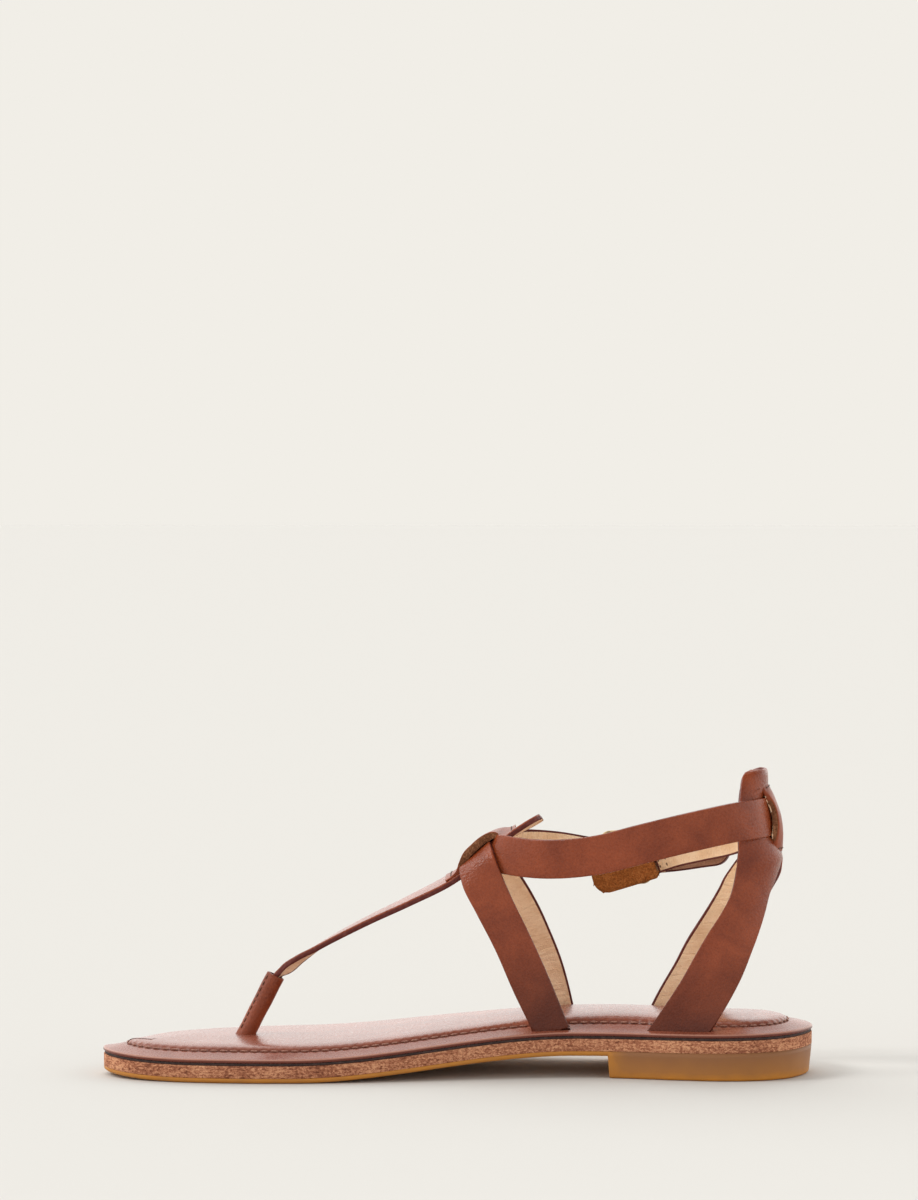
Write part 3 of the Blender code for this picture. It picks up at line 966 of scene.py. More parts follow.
SOCK_SEAM = Seam(SOCK_HIDE.pitch, 2.7, 0.7, 0.75)
POST_SEAM = Seam(2.3, 1.7, 0.5, 0.42)
LOOP_SEAM = Seam(2.6, 2.0, 0.6, 0.6)
SLEEVE_SEAM = Seam(2.1, 1.2, 0.45, 0.36)


# Sole


@dataclass
class SoleForm:
    """The form of the last's under side and outline."""

    length: float = 246.4
    stations: int = 200
    toe_spring: float = 1.4
    toe_break: float = -90.0
    arch_rise: float = 7.7
    arch_start: float = -56.0
    arch_end: float = 42.0
    heel_cup: float = 0.9
    arch_pad: float = 0.4
    arch_pad_at: float = 56.0
    arch_pad_reach: float = 26.0
    # distance from the toe, medial edge, lateral edge
    outline: Table = (
        (0.0, -13.0, -13.0), (4.0, -25.0, -3.5), (12.0, -32.5, 14.0), (25.0, -37.7, 27.0),
        (42.0, -40.5, 35.5), (62.0, -41.0, 41.8), (85.0, -38.6, 45.0), (108.0, -33.0, 45.2),
        (130.0, -27.0, 42.3), (155.0, -22.6, 37.5), (178.0, -22.6, 33.2), (198.0, -27.0, 31.0),
        (216.0, -29.6, 30.0), (230.0, -27.2, 27.5), (240.0, -20.6, 21.0), (246.0, -10.2, 10.5),
        (248.0, 0.0, 0.0),
    )

    def places(self) -> np.ndarray:
        """Even stations from toe to heel, as shares of a half turn."""
        return np.linspace(0.0, 1.0, self.stations + 1)

    def under_side(self, x: np.ndarray) -> np.ndarray:
        """Height of the sole's under side: toe spring, tread, arch and heel seat.

        Args:
            x: Places along the sole.

        Returns:
            The heights there.
        """
        toe = np.clip((self.toe_break - x) / (self.toe_break + self.length / 2), 0.0, 1.0)
        arch = np.clip((x - self.arch_start) / (self.arch_end - self.arch_start), 0.0, 1.0)
        heel = np.clip((x - self.arch_end) / (self.length / 2 - self.arch_end), 0.0, 1.0)
        rise = self.arch_rise * arch ** 2 * (3 - 2 * arch)
        return self.toe_spring * toe ** 2 + rise + self.heel_cup * heel ** 2

    def pad_share(self, x: np.ndarray) -> np.ndarray:
        """How high the padding stands along the sole, most under the arch."""
        return 1.0 + self.arch_pad * np.exp(-((x - self.arch_pad_at) / self.arch_pad_reach) ** 2)

    def ring(self, places: np.ndarray, inset: float | np.ndarray) -> np.ndarray:
        """The outline drawn in by an inset, from the toe round the lateral side.

        Args:
            places: Stations as shares of a half turn.
            inset: How far in, in millimetres, for all points or for each.

        Returns:
            A closed ring of plan points.
        """
        table = np.array(self.outline)
        knots = np.arccos(1 - 2 * table[:, 0] / table[-1, 0]) / np.pi
        sides = through(knots, table[:, 1:], places)
        x = -self.length / 2 * np.cos(np.pi * places)
        lateral = np.column_stack((x, sides[:, 1]))
        medial = np.column_stack((x, sides[:, 0]))
        ring = np.concatenate((lateral, medial[-2:0:-1]))
        along = unit(np.roll(ring, -1, axis=0) - np.roll(ring, 1, axis=0))
        inward = np.column_stack((along[:, 1], -along[:, 0]))
        return ring + np.broadcast_to(inset, (len(ring),))[:, None] * inward


@dataclass
class Sole:
    """Outsole with its heel, midsole, insole board and padded footbed."""

    form: SoleForm = field(default_factory=SoleForm)
    gap: float = 0.03
    outsole_top: float = 1.72
    midsole_top: float = 6.08
    outsole_inset: float = 0.4
    least_wall: float = 0.3
    wall_rows: int = 5
    heel_breast: float = 52.0
    breast_slope: float = 0.7
    breast_margin: float = 0.3
    breast_rows: int = 12
    heel_taper: float = 1.0
    # length over which the heel's painted glow and browning set in, and where the thin sole stands on that
    # scale
    heel_glow_fade: float = 9.0
    thin_rise: float = 0.14
    footbed_edge: float = 8.4
    sharp_turn: float = 48.0
    stitch_inset: float = 8.6
    stitch_height: float = 10.3
    # plan points beside the heel strap's lateral leg, with a reach that leaves no room for a stitch
    unsewn_from: tuple[float, float] = (67.0, 21.6)
    unsewn_to: tuple[float, float] = (87.0, 24.0)
    unsewn_points: int = 5
    unsewn_reach: float = 3.4
    # inset, height above the floor side, for the rounded lower edge of the outsole
    tread_edge: Table = ((1.7, 0.0), (1.15, 0.06), (0.6, 0.25), (0.2, 0.6), (0.0, 1.05))
    midsole_edge: Table = ((0.62, 0.0), (0.48, 0.06), (0.4, 0.25), (0.4, 4.0), (0.46, 4.2), (0.6, 4.3))
    board_edge: Table = ((0.85, 0.0), (0.75, 0.12), (0.75, 0.78), (0.85, 0.88))
    # inset, height above the under side, from the lower edge over the margin to the padding
    footbed_section: Table = (
        (1.3, 7.0), (0.55, 7.04), (0.26, 7.2), (0.2, 7.5), (0.24, 7.8), (0.42, 8.08), (0.75, 8.26),
        (1.2, 8.38), (1.9, 8.52), (2.8, 8.7), (3.8, 8.92), (4.8, 9.16), (5.8, 9.42), (6.8, 9.68), (7.5, 9.84),
        (7.95, 9.9), (8.3, 9.86), (8.6, 9.82), (8.85, 9.95), (9.1, 10.4), (9.45, 10.88), (9.95, 11.24),
        (10.7, 11.52), (11.8, 11.74), (13.4, 11.93), (15.6, 12.08), (18.6, 12.18),
    )
    crown: float = 0.35
    crown_reach: float = 15.0
    spine_steps: tuple[float, ...] = (0.8, 0.6, 0.4, 0.2, 0.0)

    def loft(self, places: np.ndarray, rings: list[np.ndarray], crown: float) -> bmesh.types.BMesh:
        """A closed layer drawn from ring to ring and closed along its spine.

        Args:
            places: Its stations.
            rings: Rings of points from its under side to its top.
            crown: How far its top rises to the spine.

        Returns:
            The layer's mesh.
        """
        count = 2 * (len(places) - 1)
        mate = (count - np.arange(count)) % count
        closing = []
        for ring, rise in ((rings[0], 0.0), (rings[-1], crown)):
            spine = (ring + ring[mate]) / 2
            for share in self.spine_steps:
                drawn = spine + share * (ring - spine)
                broad = smooth_step(abs(ring[:, 1] - spine[:, 1]) / self.crown_reach)
                drawn[:, 2] += rise * (1 - share ** 2) * broad
                closing.append(drawn)
        half = len(self.spine_steps)
        levels = closing[:half][::-1] + rings + closing[half:]
        shape = bmesh.new()
        station = shape.verts.layers.int.new("station")
        level_of = shape.verts.layers.int.new("level")
        for i, vert in enumerate(bmesh.ops.create_circle(shape, segments=count, radius=1.0)["verts"]):
            vert[station] = i
        verts, edges = shape.verts[:], shape.edges[:]
        for level, points in enumerate(levels):
            if level:
                verts, edges = extrude_ring(shape, edges)
            for vert in verts:
                vert[level_of] = level - half
                vert.co = points[vert[station]]
        bmesh.ops.remove_doubles(shape, verts=shape.verts, dist=1e-3)
        bmesh.ops.recalc_face_normals(shape, faces=shape.faces)
        return shape

    def layer(self, edge: Table, base: float) -> bmesh.types.BMesh:
        """A plain layer that follows the under side.

        Args:
            edge: Its edge, as insets and heights.
            base: Height of its bottom above the under side.

        Returns:
            The layer's mesh.
        """
        places = self.form.places()
        rings = []
        for inset, height in edge:
            plan = self.form.ring(places, inset)
            rings.append(np.column_stack((plan, self.form.under_side(plan[:, 0]) + base + height)))
        return self.loft(places, rings, 0.0)

    def build_outsole(self) -> bpy.types.Object:
        """The thin rubber sole and the heel moulded on it.

        Returns:
            The outsole.
        """
        form = self.form
        margin = self.breast_margin
        breast = self.heel_breast + np.linspace(-margin, self.breast_slope + margin, self.breast_rows)
        turned = np.arccos(-2 * breast / form.length) / np.pi
        places = np.union1d(form.places(), turned)
        outline = form.ring(places, 0.0)
        drop = smooth_step((outline[:, 0] - self.heel_breast) / self.breast_slope)
        seat = form.under_side(outline[:, 0])
        low, high = seat * (1 - drop), seat + self.outsole_top
        levels = []
        for inset, height in self.tread_edge:
            levels.append((inset, np.minimum(low + height, high - self.least_wall)))
        wall_foot = low + self.tread_edge[-1][1]
        for row in range(1, self.wall_rows + 1):
            levels.append((0.0, wall_foot + (high - wall_foot) * row / self.wall_rows))
        rings = []
        for inset, height in levels:
            drawn_in = self.outsole_inset + inset + self.heel_taper * drop * (high - height) / (high - low)
            rings.append(np.column_stack((form.ring(places, drawn_in), height)))
        shape = self.loft(places, rings, 0.0)
        # rise sets the gum's painted glow: bright low on the heel and in the thin sole
        rise = shape.verts.layers.float.new("rise")
        for vert in shape.verts:
            base = float(form.under_side(np.array(vert.co.x)))
            heel = float(smooth_step(np.array((vert.co.x - self.heel_breast) / self.heel_glow_fade)))
            vert[rise] = heel * vert.co.z / (base + self.outsole_top) + self.thin_rise * (1 - heel)
        return settle(make_piece("outsole", shape, HONEY_GUM), Slot.GUM, "outsole")

    def build_core(self) -> list[bpy.types.Object]:
        """The leatherboard midsole and the dark insole board.

        Returns:
            Midsole and board.
        """
        midsole = self.layer(self.midsole_edge, self.outsole_top + self.gap)
        board = self.layer(self.board_edge, self.midsole_top + self.gap)
        return [
            settle(make_piece("midsole", midsole, MIDSOLE_FIBRE), Slot.FIBRE, "midsole"),
            settle(make_piece("insole_board", board, BOARD_EDGE), Slot.BOARD, "insole_board"),
        ]

    def footbed_height(self, height: float, x: np.ndarray) -> np.ndarray:
        """Height of a footbed level along the sole, with its padding."""
        over = max(height - self.footbed_edge, 0.0)
        return self.form.under_side(x) + min(height, self.footbed_edge) + over * self.form.pad_share(x)

    def build_footbed(self, cutters: list[bmesh.types.BMesh]) -> bpy.types.Object:
        """The leather footbed with its margin, stitch groove and padding.

        Args:
            cutters: Shapes of the strap slots and of the post's hole.

        Returns:
            The footbed.
        """
        places = self.form.places()
        rings = []
        for inset, height in self.footbed_section:
            plan = self.form.ring(places, inset)
            rings.append(np.column_stack((plan, self.footbed_height(height, plan[:, 0]))))
        shape = self.loft(places, rings, self.crown)
        self.map_seam(shape)
        shape = carve(shape, cutters)
        footbed = make_piece("footbed", shape, SOCK_HIDE)
        footbed.data.set_sharp_from_angle(angle=math.radians(self.sharp_turn))
        return settle(footbed, Slot.SOCK, "footbed")

    def seam_line(self) -> np.ndarray:
        """The closed line of the footbed's stitches.

        Returns:
            Its points, the first one again at the end.
        """
        plan = self.form.ring(self.form.places(), self.stitch_inset)
        closed = np.concatenate((plan, plan[:1]))
        return np.column_stack((closed, self.footbed_height(self.stitch_height, closed[:, 0])))

    def map_seam(self, shape: bmesh.types.BMesh) -> None:
        """Map the footbed by distance along its seam and distance up and in from its lower edge.

        Args:
            shape: The footbed as it comes from its rings.
        """
        reach = reach_along(self.seam_line())
        reach *= round(reach[-1] / SOCK_HIDE.pitch) * SOCK_HIDE.pitch / reach[-1]
        drawn = reach_along(np.array(self.footbed_section))
        station = shape.verts.layers.int["station"]
        level_of = shape.verts.layers.int["level"]
        seam = shape.loops.layers.uv.new("seam")
        half = self.form.stations
        for face in shape.faces:
            spots = [vert[station] for vert in face.verts]
            round_end = max(spots) - min(spots) > half
            for loop in face.loops:
                spot, level = loop.vert[station], loop.vert[level_of]
                along = reach[spot] + (reach[-1] if round_end and spot < half else 0.0)
                loop[seam].uv = (along * MM, drawn[np.clip(level, 0, len(drawn) - 1)] * MM)

    def build_stitching(self) -> bpy.types.Object:
        """The row of stitches in the footbed's groove.

        Returns:
            The stitches.
        """
        line = self.seam_line()
        clear = np.ones(len(line), bool)
        for x, y in np.linspace(self.unsewn_from, self.unsewn_to, self.unsewn_points):
            clear &= np.hypot(line[:, 0] - x, line[:, 1] - y) > self.unsewn_reach
        shape = bmesh.new()
        for run in np.split(np.arange(len(line)), np.where(np.diff(clear.astype(int)) != 0)[0] + 1):
            if clear[run[0]] and len(run) > 2:
                SOCK_SEAM.sew(shape, line[run], np.tile((0.0, 0.0, 1.0), (len(run), 1)))
        return settle(make_piece("footbed_stitching", shape, SOCK_THREAD), Slot.SOCK)


# Straps


@dataclass(frozen=True)
class Creases:
    """A run of soft creases across a strap."""

    start: float
    end: float
    pitch: float
    depth: float
    skin: Skin
    seed: int

    def lift(self, along: np.ndarray, across: np.ndarray) -> np.ndarray:
        """How far the creases sink the surface.

        Args:
            along: Places along the strap, in millimetres.
            across: Places across it, from -1 to 1.

        Returns:
            Depths at those places.
        """
        draw = np.random.default_rng(self.seed)
        sunk = np.zeros_like(along)
        place = self.start
        while place < self.end:
            skew, bend = draw.uniform(-0.9, 0.9), draw.uniform(-0.7, 0.7)
            middle, reach = draw.uniform(-0.8, 0.8), draw.uniform(0.5, 1.3)
            width, depth = draw.uniform(0.38, 0.6) * self.pitch, draw.uniform(0.4, 1.0) * self.depth
            line = place + skew * across + bend * across ** 2
            fade = np.exp(-((across - middle) / reach) ** 2)
            sunk += depth * fade * np.exp(-((along - line) / (0.5 * width)) ** 2)
            place += self.pitch * draw.uniform(0.7, 1.4)
        return sunk * (1 - across ** 8)


@dataclass
class Lay:
    """Where a strap lies at a set of places: middle, half width, bow and directions."""

    at: np.ndarray
    middle: np.ndarray
    half: np.ndarray
    bow: np.ndarray
    side: np.ndarray
    normal: np.ndarray

    def point(self, row: np.ndarray, share: np.ndarray, depth: np.ndarray) -> np.ndarray:
        """Points of the strap.

        Args:
            row: Which place along it.
            share: How far across, from -1 to 1.
            depth: Distance out from its middle surface.

        Returns:
            The points.
        """
        out = depth - self.bow[row] * share ** 2
        across = (self.half[row] * share)[:, None] * self.side[row]
        return self.middle[row] + across + out[:, None] * self.normal[row]


@dataclass
class Band:
    """A flat strap that follows a table of sections.

    Each row holds x, y, z of the middle, width, turn and lean of the outer face, and bow across. The rows
    of a faced strap give its outer face instead. A skived strap thins out over that length at both ends.
    Its rim is raw over a stretch and dyed like the face beyond it. Past some x the inner side takes a darker
    lining, painted shade.
    """

    name: str
    rows: Table
    wall: float
    step: float = 0.8
    columns: int = 12
    tips: tuple[float, float] = (0.0, 0.0)
    eased: float = 0.42
    spread: float = 0.0
    start: float = 0.0
    skived: float = 0.0
    thin: float = 0.3
    faced: bool = False
    turned: Skin = Skin.RIM
    lapped: bool = False
    raw: tuple[float, float] = (-math.inf, math.inf)
    # past this x the inner side takes the tail finish, painted shade
    shaded_past: float = math.inf
    creases: tuple[Creases, ...] = ()

    def read(self) -> tuple[np.ndarray, np.ndarray]:
        """Read the rows.

        Returns:
            Their distances along the strap, and their values with the outer face as a vector.
        """
        table = np.array(self.rows, float)
        turn, lean = np.radians(table[:, 4]), np.radians(table[:, 5])
        outer = np.column_stack((np.cos(lean) * np.cos(turn), np.cos(lean) * np.sin(turn), np.sin(lean)))
        return reach_along(table[:, :3]), np.column_stack((table[:, :4], table[:, 6], outer))

    def stops(self) -> np.ndarray:
        """Places of the strap's rows of points, closer at rounded tips.

        Returns:
            Distances along the strap.
        """
        length = self.read()[0][-1]
        at = np.linspace(self.start, length, int(round((length - self.start) / self.step)) + 1)
        for end, size in zip((0.0, length), self.tips):
            if size:
                at = at[abs(at - end) > size * 0.9]
                near = size * (1 - np.cos(np.linspace(0.0, np.pi / 2, 10)))
                at = np.union1d(at, abs(end - near))
        return at

    def lay(self, at: np.ndarray) -> Lay:
        """Where the strap lies.

        Args:
            at: Places along it.

        Returns:
            Its middle line, width and directions there.
        """
        knots, rows = self.read()
        values = through(knots, rows, at)
        half = values[:, 3] / 2 + self.spread
        for end, size in zip((0.0, knots[-1]), self.tips):
            if size:
                reach = np.clip(abs(at - end) / size, 0.02, 1.0)
                half = half - size * (1 - np.sqrt(1 - (1 - reach) ** 2))
        fine = np.clip(np.stack((at - 0.2, at + 0.2)), 0.0, knots[-1])
        along = unit(through(knots, rows, fine[1])[:, :3] - through(knots, rows, fine[0])[:, :3])
        side = unit(np.cross(values[:, 5:8], along))
        return Lay(at, values[:, :3], half, values[:, 4], side, np.cross(along, side))

    def faces_at(self, at: np.ndarray) -> tuple[np.ndarray, np.ndarray]:
        """How far the faces stand from the rows' surface.

        Args:
            at: Places along the strap.

        Returns:
            Distances of the outer and of the inner face there.
        """
        wall = np.full(len(at), self.wall)
        if self.skived:
            near = np.minimum(at, self.read()[0][-1] - at) / self.skived
            wall *= self.thin + (1 - self.thin) * smooth_step(near)
        return (0 * wall, -wall) if self.faced else (wall / 2, -wall / 2)

    def shape(self) -> bmesh.types.BMesh:
        """The strap as a closed mesh with rounded edges.

        Returns:
            The mesh, in millimetres.
        """
        at = self.stops()
        lay = self.lay(at)
        shape = bmesh.new()
        row_of = shape.verts.layers.int.new("row")
        share_of = shape.verts.layers.float.new("share")
        length_map = shape.loops.layers.uv.new("length")
        bmesh.ops.create_grid(shape, x_segments=len(at) - 1, y_segments=self.columns, size=1.0)
        next_in = 1 - 2 / self.columns
        for vert in shape.verts:
            vert[row_of] = round((vert.co.x + 1) / 2 * (len(at) - 1))
            vert[share_of] = vert.co.y
            if self.lapped and abs(abs(vert.co.y) - next_in) < 1e-4:
                lap = PAINT_LAP / lay.half[vert[row_of]]
                vert[share_of] = math.copysign(max(next_in, 1 - lap), vert.co.y)
        made = bmesh.ops.extrude_face_region(shape, geom=shape.faces[:], use_keep_orig=True)
        inner = set(new_verts(made))
        verts = shape.verts[:]
        row = np.array([vert[row_of] for vert in verts])
        share = np.array([vert[share_of] for vert in verts])
        inside = np.array([vert in inner for vert in verts])
        outer, under = self.faces_at(at)
        depth = np.where(inside, under[row], outer[row])
        for run in self.creases:
            worn = inside if run.skin is Skin.INNER else ~inside
            depth += np.where(worn, run.lift(at[row], share), 0.0) * np.where(inside, 1.0, -1.0)
        for vert, point in zip(verts, lay.point(row, share, depth)):
            vert.co = point
        wear_skins(shape, inner)
        for face in shape.faces:
            for loop in face.loops:
                vert = loop.vert
                across = vert[share_of] * lay.half[vert[row_of]]
                loop[length_map].uv = (at[vert[row_of]] * MM, across * MM)
        ease_rims(shape, self.eased, self.turned)
        if self.lapped:
            lap_paint(shape)
        for face in shape.faces:
            along = face.loops[0][length_map].uv.x / MM
            if face.material_index == Skin.INNER.value and face.calc_center_median().x > self.shaded_past:
                face.material_index = Skin.TAIL.value
            elif face.material_index == Skin.RIM.value and not self.raw[0] < along < self.raw[1]:
                face.material_index = Skin.OUTER.value
        bmesh.ops.recalc_face_normals(shape, faces=shape.faces)
        return shape

    def build(self, slot: Slot, nodes: tuple[str, ...], *finishes: Finish) -> bpy.types.Object:
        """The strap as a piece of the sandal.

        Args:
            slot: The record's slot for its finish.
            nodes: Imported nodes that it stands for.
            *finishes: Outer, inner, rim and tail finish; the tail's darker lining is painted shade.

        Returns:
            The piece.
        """
        return settle(make_piece(self.name, self.shape(), *finishes), slot, *nodes)

    def cutter(self, reach: float, room: float, longer: float) -> bmesh.types.BMesh:
        """A shape for the slot that the strap's foot goes through.

        Args:
            reach: How far up the strap the shape goes.
            room: Space on each face.
            longer: Space past each edge.

        Returns:
            The cutter.
        """
        knots = self.read()[0]
        kept = int(np.searchsorted(knots, reach)) + 1
        slot = Band("slot", self.rows[:kept], self.wall + 2 * room, step=3.0, columns=4, eased=0.3,
                    spread=longer)
        return slot.shape()

    def sew_across(self, seam: Seam, shape: bmesh.types.BMesh, place: float, reach: float,
                   face: Skin) -> None:
        """Stitch across the strap.

        Args:
            seam: The stitches' sizes.
            shape: The mesh that takes them.
            place: Distance along the strap, from its end if negative.
            reach: How much of the width is sewn.
            face: Which face they lie on.
        """
        length = self.read()[0][-1]
        lay = self.lay(np.full(SEAM_POINTS, place if place >= 0 else length + place))
        share = np.linspace(-reach, reach, SEAM_POINTS)
        sign = 1.0 if face is Skin.OUTER else -1.0
        line = lay.point(np.arange(SEAM_POINTS), share, self.faces_at(lay.at)[face.value])
        seam.sew(shape, line, sign * lay.normal)


MEDIAL_STRAP = Band("medial_strap", (
    (36.0, -17.8, 8.0, 12.0, -90, 2, 0.0),
    (32.2, -18.6, 17.4, 12.2, -90, 4, 0.1),
    (25.8, -19.2, 32.0, 13.2, -91, 6, 0.2),
    (18.9, -18.8, 47.4, 13.0, -94, 12, 0.3),
    (12.2, -16.6, 60.4, 13.4, -98, 20, 0.3),
    (8.2, -14.2, 68.6, 14.0, -109, 27, 0.3),
    (6.6, -11.0, 74.0, 13.4, -126, 36, 0.2),
    (6.3, -6.2, 76.0, 13.4, -168, 47, 0.0),
    (7.0, 0.0, 76.5, 13.4, 180, 50, 0.0),
    (9.2, 6.4, 76.9, 13.4, 135, 52, 0.0),
    (15.0, 11.8, 76.8, 13.3, 113, 26, 0.1),
    (24.5, 16.8, 76.3, 13.2, 116, 6, 0.2),
    (35.0, 21.3, 75.1, 13.0, 110, 0, 0.2),
    (42.5, 24.0, 73.6, 13.0, 106, 0, 0.2),
    (50.1, 26.3, 72.1, 13.0, 101, 0, 0.1),
    (56.1, 28.2, 71.8, 13.0, 110, 0, 0.0),
    (60.7, 31.0, 72.2, 13.0, 108, 0, 0.0),
    (66.6, 32.4, 72.7, 13.0, 92, 0, 0.1),
    (76.0, 31.9, 73.7, 13.0, 81, 0, 0.2),
    (87.0, 29.3, 75.4, 12.8, 72, 0, 0.2),
    (94.4, 26.1, 76.4, 12.6, 70, 0, 0.2),
), 2.0, tips=(0.0, 6.0), start=7.8, lapped=True, shaded_past=61.0, creases=(
    Creases(9.0, 24.0, 2.6, 0.05, Skin.OUTER, 11),
    Creases(12.0, 60.0, 2.0, 0.2, Skin.INNER, 12),
))
LATERAL_STRAP = Band("lateral_strap", (
    (34.4, 31.8, 8.0, 14.0, 90, 6, 0.0),
    (32.6, 30.6, 18.0, 13.8, 90, 10, 0.1),
    (28.6, 26.8, 35.0, 13.2, 90, 15, 0.2),
    (25.2, 23.6, 44.3, 13.0, 92, 18, 0.3),
    (21.6, 20.2, 52.8, 13.0, 94, 21, 0.3),
    (17.0, 16.8, 61.4, 13.0, 97, 24, 0.3),
    (12.0, 13.4, 69.2, 13.2, 102, 34, 0.3),
    (8.8, 9.6, 73.9, 13.2, 112, 54, 0.2),
    (7.8, 5.0, 75.2, 13.2, 150, 58, 0.0),
    (7.8, 0.0, 75.6, 13.2, 180, 52, 0.0),
    (9.6, -5.8, 76.2, 13.2, -128, 42, 0.0),
    (13.0, -9.9, 76.6, 13.2, -116, 17, 0.1),
    (20.0, -14.4, 75.9, 13.2, -113, 6, 0.2),
    (27.0, -18.3, 75.5, 13.3, -115, 2, 0.2),
    (36.0, -22.3, 75.8, 13.3, -109, 0, 0.2),
    (49.3, -26.0, 77.7, 13.3, -101, 0, 0.2),
    (63.0, -27.4, 81.3, 13.3, -90, 0, 0.2),
    (83.3, -25.3, 86.1, 13.3, -74, 1, 0.2),
    (96.2, -20.0, 88.5, 13.3, -52, 4, 0.2),
    (104.0, -11.9, 89.1, 13.3, -30, 8, 0.2),
    (107.6, 0.0, 89.1, 13.3, 0, 10, 0.2),
    (103.8, 11.3, 86.7, 13.3, 30, 8, 0.2),
    (96.0, 19.2, 81.2, 13.3, 52, 2, 0.2),
    (84.0, 24.6, 77.9, 13.3, 74, 0, 0.2),
    (74.6, 26.6, 75.6, 13.3, 81, 0, 0.1),
    (67.6, 26.9, 73.3, 13.3, 84, 0, 0.0),
), 2.0, step=0.55, start=7.6, lapped=True, creases=(
    Creases(9.0, 62.0, 1.9, 0.26, Skin.INNER, 21),
    Creases(215.0, 250.0, 2.6, 0.08, Skin.INNER, 22),
))
T_STRAP = Band("t_strap", (
    (-79.8, -2.0, 1.4, 3.2, 180, 28, 0.0),
    (-70.0, -2.0, 20.9, 3.2, 180, 28, 0.0),
    (-65.2, -2.0, 29.9, 3.0, 180, 29, 0.0),
    (-63.6, -2.0, 33.0, 3.4, 172, 38, 0.0),
    (-60.6, -2.0, 35.1, 6.2, 147, 46, 0.0),
    (-55.8, -2.0, 38.8, 7.6, 156, 53, 0.1),
    (-50.4, -1.9, 42.2, 8.6, 173, 57, 0.1),
    (-45.0, -1.8, 45.4, 9.6, 179, 60, 0.1),
    (-31.0, -1.2, 52.8, 12.6, 184, 62, 0.15),
    (-17.0, -0.6, 59.5, 15.6, 186, 62, 0.15),
    (-3.0, 0.0, 66.8, 17.6, 187, 58, 0.2),
    (8.5, 0.0, 74.8, 18.0, 182, 53, 0.2),
    (18.4, 0.0, 82.6, 18.0, 173, 56, 0.2),
    (28.4, 0.0, 88.6, 16.6, 163, 61, 0.3),
), 2.0, tips=(0.0, 5.0), eased=0.5, start=14.0, lapped=True)
INSTEP_LOOP = Band("instep_loop", (
    (-4.8, 0.0, 67.6, 17.2, 185, 58, 0.3),
    (-2.8, 0.0, 68.75, 17.2, 183, 58, 0.3),
    (-0.9, 0.0, 70.3, 17.2, 179, 53, 0.3),
    (0.7, 0.0, 72.8, 17.0, 173, 36, 0.3),
    (2.7, 0.0, 76.3, 17.0, 170, 34, 0.3),
    (5.0, 0.0, 78.9, 17.0, 170, 44, 0.3),
    (7.5, 0.0, 81.2, 17.0, 168, 56, 0.3),
    (9.8, 0.0, 82.8, 17.0, 165, 68, 0.3),
    (11.8, 0.0, 83.8, 17.0, 164, 82, 0.2),
    (13.6, 0.0, 83.9, 17.0, -146, 88, 0.1),
    (15.2, 0.0, 83.5, 17.0, -95, 84, 0.1),
    (17.0, 0.0, 83.65, 17.0, -152, 77, 0.2),
    (18.6, 0.0, 84.3, 17.0, -168, 66, 0.3),
    (19.5, 0.0, 84.9, 17.0, -170, 62, 0.3),
), 2.8, step=0.5, eased=0.22, skived=11.0, thin=0.16, faced=True, raw=(6.2, math.inf))
HEEL_LOOP = Band("heel_loop", (
    (106.7, 0.0, 100.8, 14.6, 0, 24, 2.4),
    (107.5, 0.0, 99.2, 14.8, 0, 24, 2.1),
    (108.65, 0.0, 97.06, 15.0, 0, 23, 1.4),
    (110.1, 0.0, 93.6, 15.2, 0, 21, 0.8),
    (111.3, 0.0, 90.2, 15.2, 0, 15, 1.0),
    (112.05, 0.0, 86.2, 15.2, 0, 7, 1.4),
    (112.3, 0.0, 82.7, 15.2, 0, 3, 2.0),
    (112.2, 0.0, 79.6, 15.2, 0, 1, 2.6),
    (112.05, 0.0, 77.0, 15.2, 0, 0, 2.9),
), 2.3, step=0.5, eased=0.45, skived=6.5, thin=0.22, faced=True, turned=Skin.INNER, raw=(5.2, 20.4))
BUCKLE_PAD = Band("buckle_pad", (
    (45.2, 21.9, 67.9, 18.4, 97, 0, 0.2),
    (56.0, 23.0, 71.0, 18.4, 93, 0, 0.2),
    (66.7, 23.1, 74.3, 18.2, 87, 0, 0.2),
), 1.2, step=0.6, tips=(5.0, 1.0), eased=0.4)


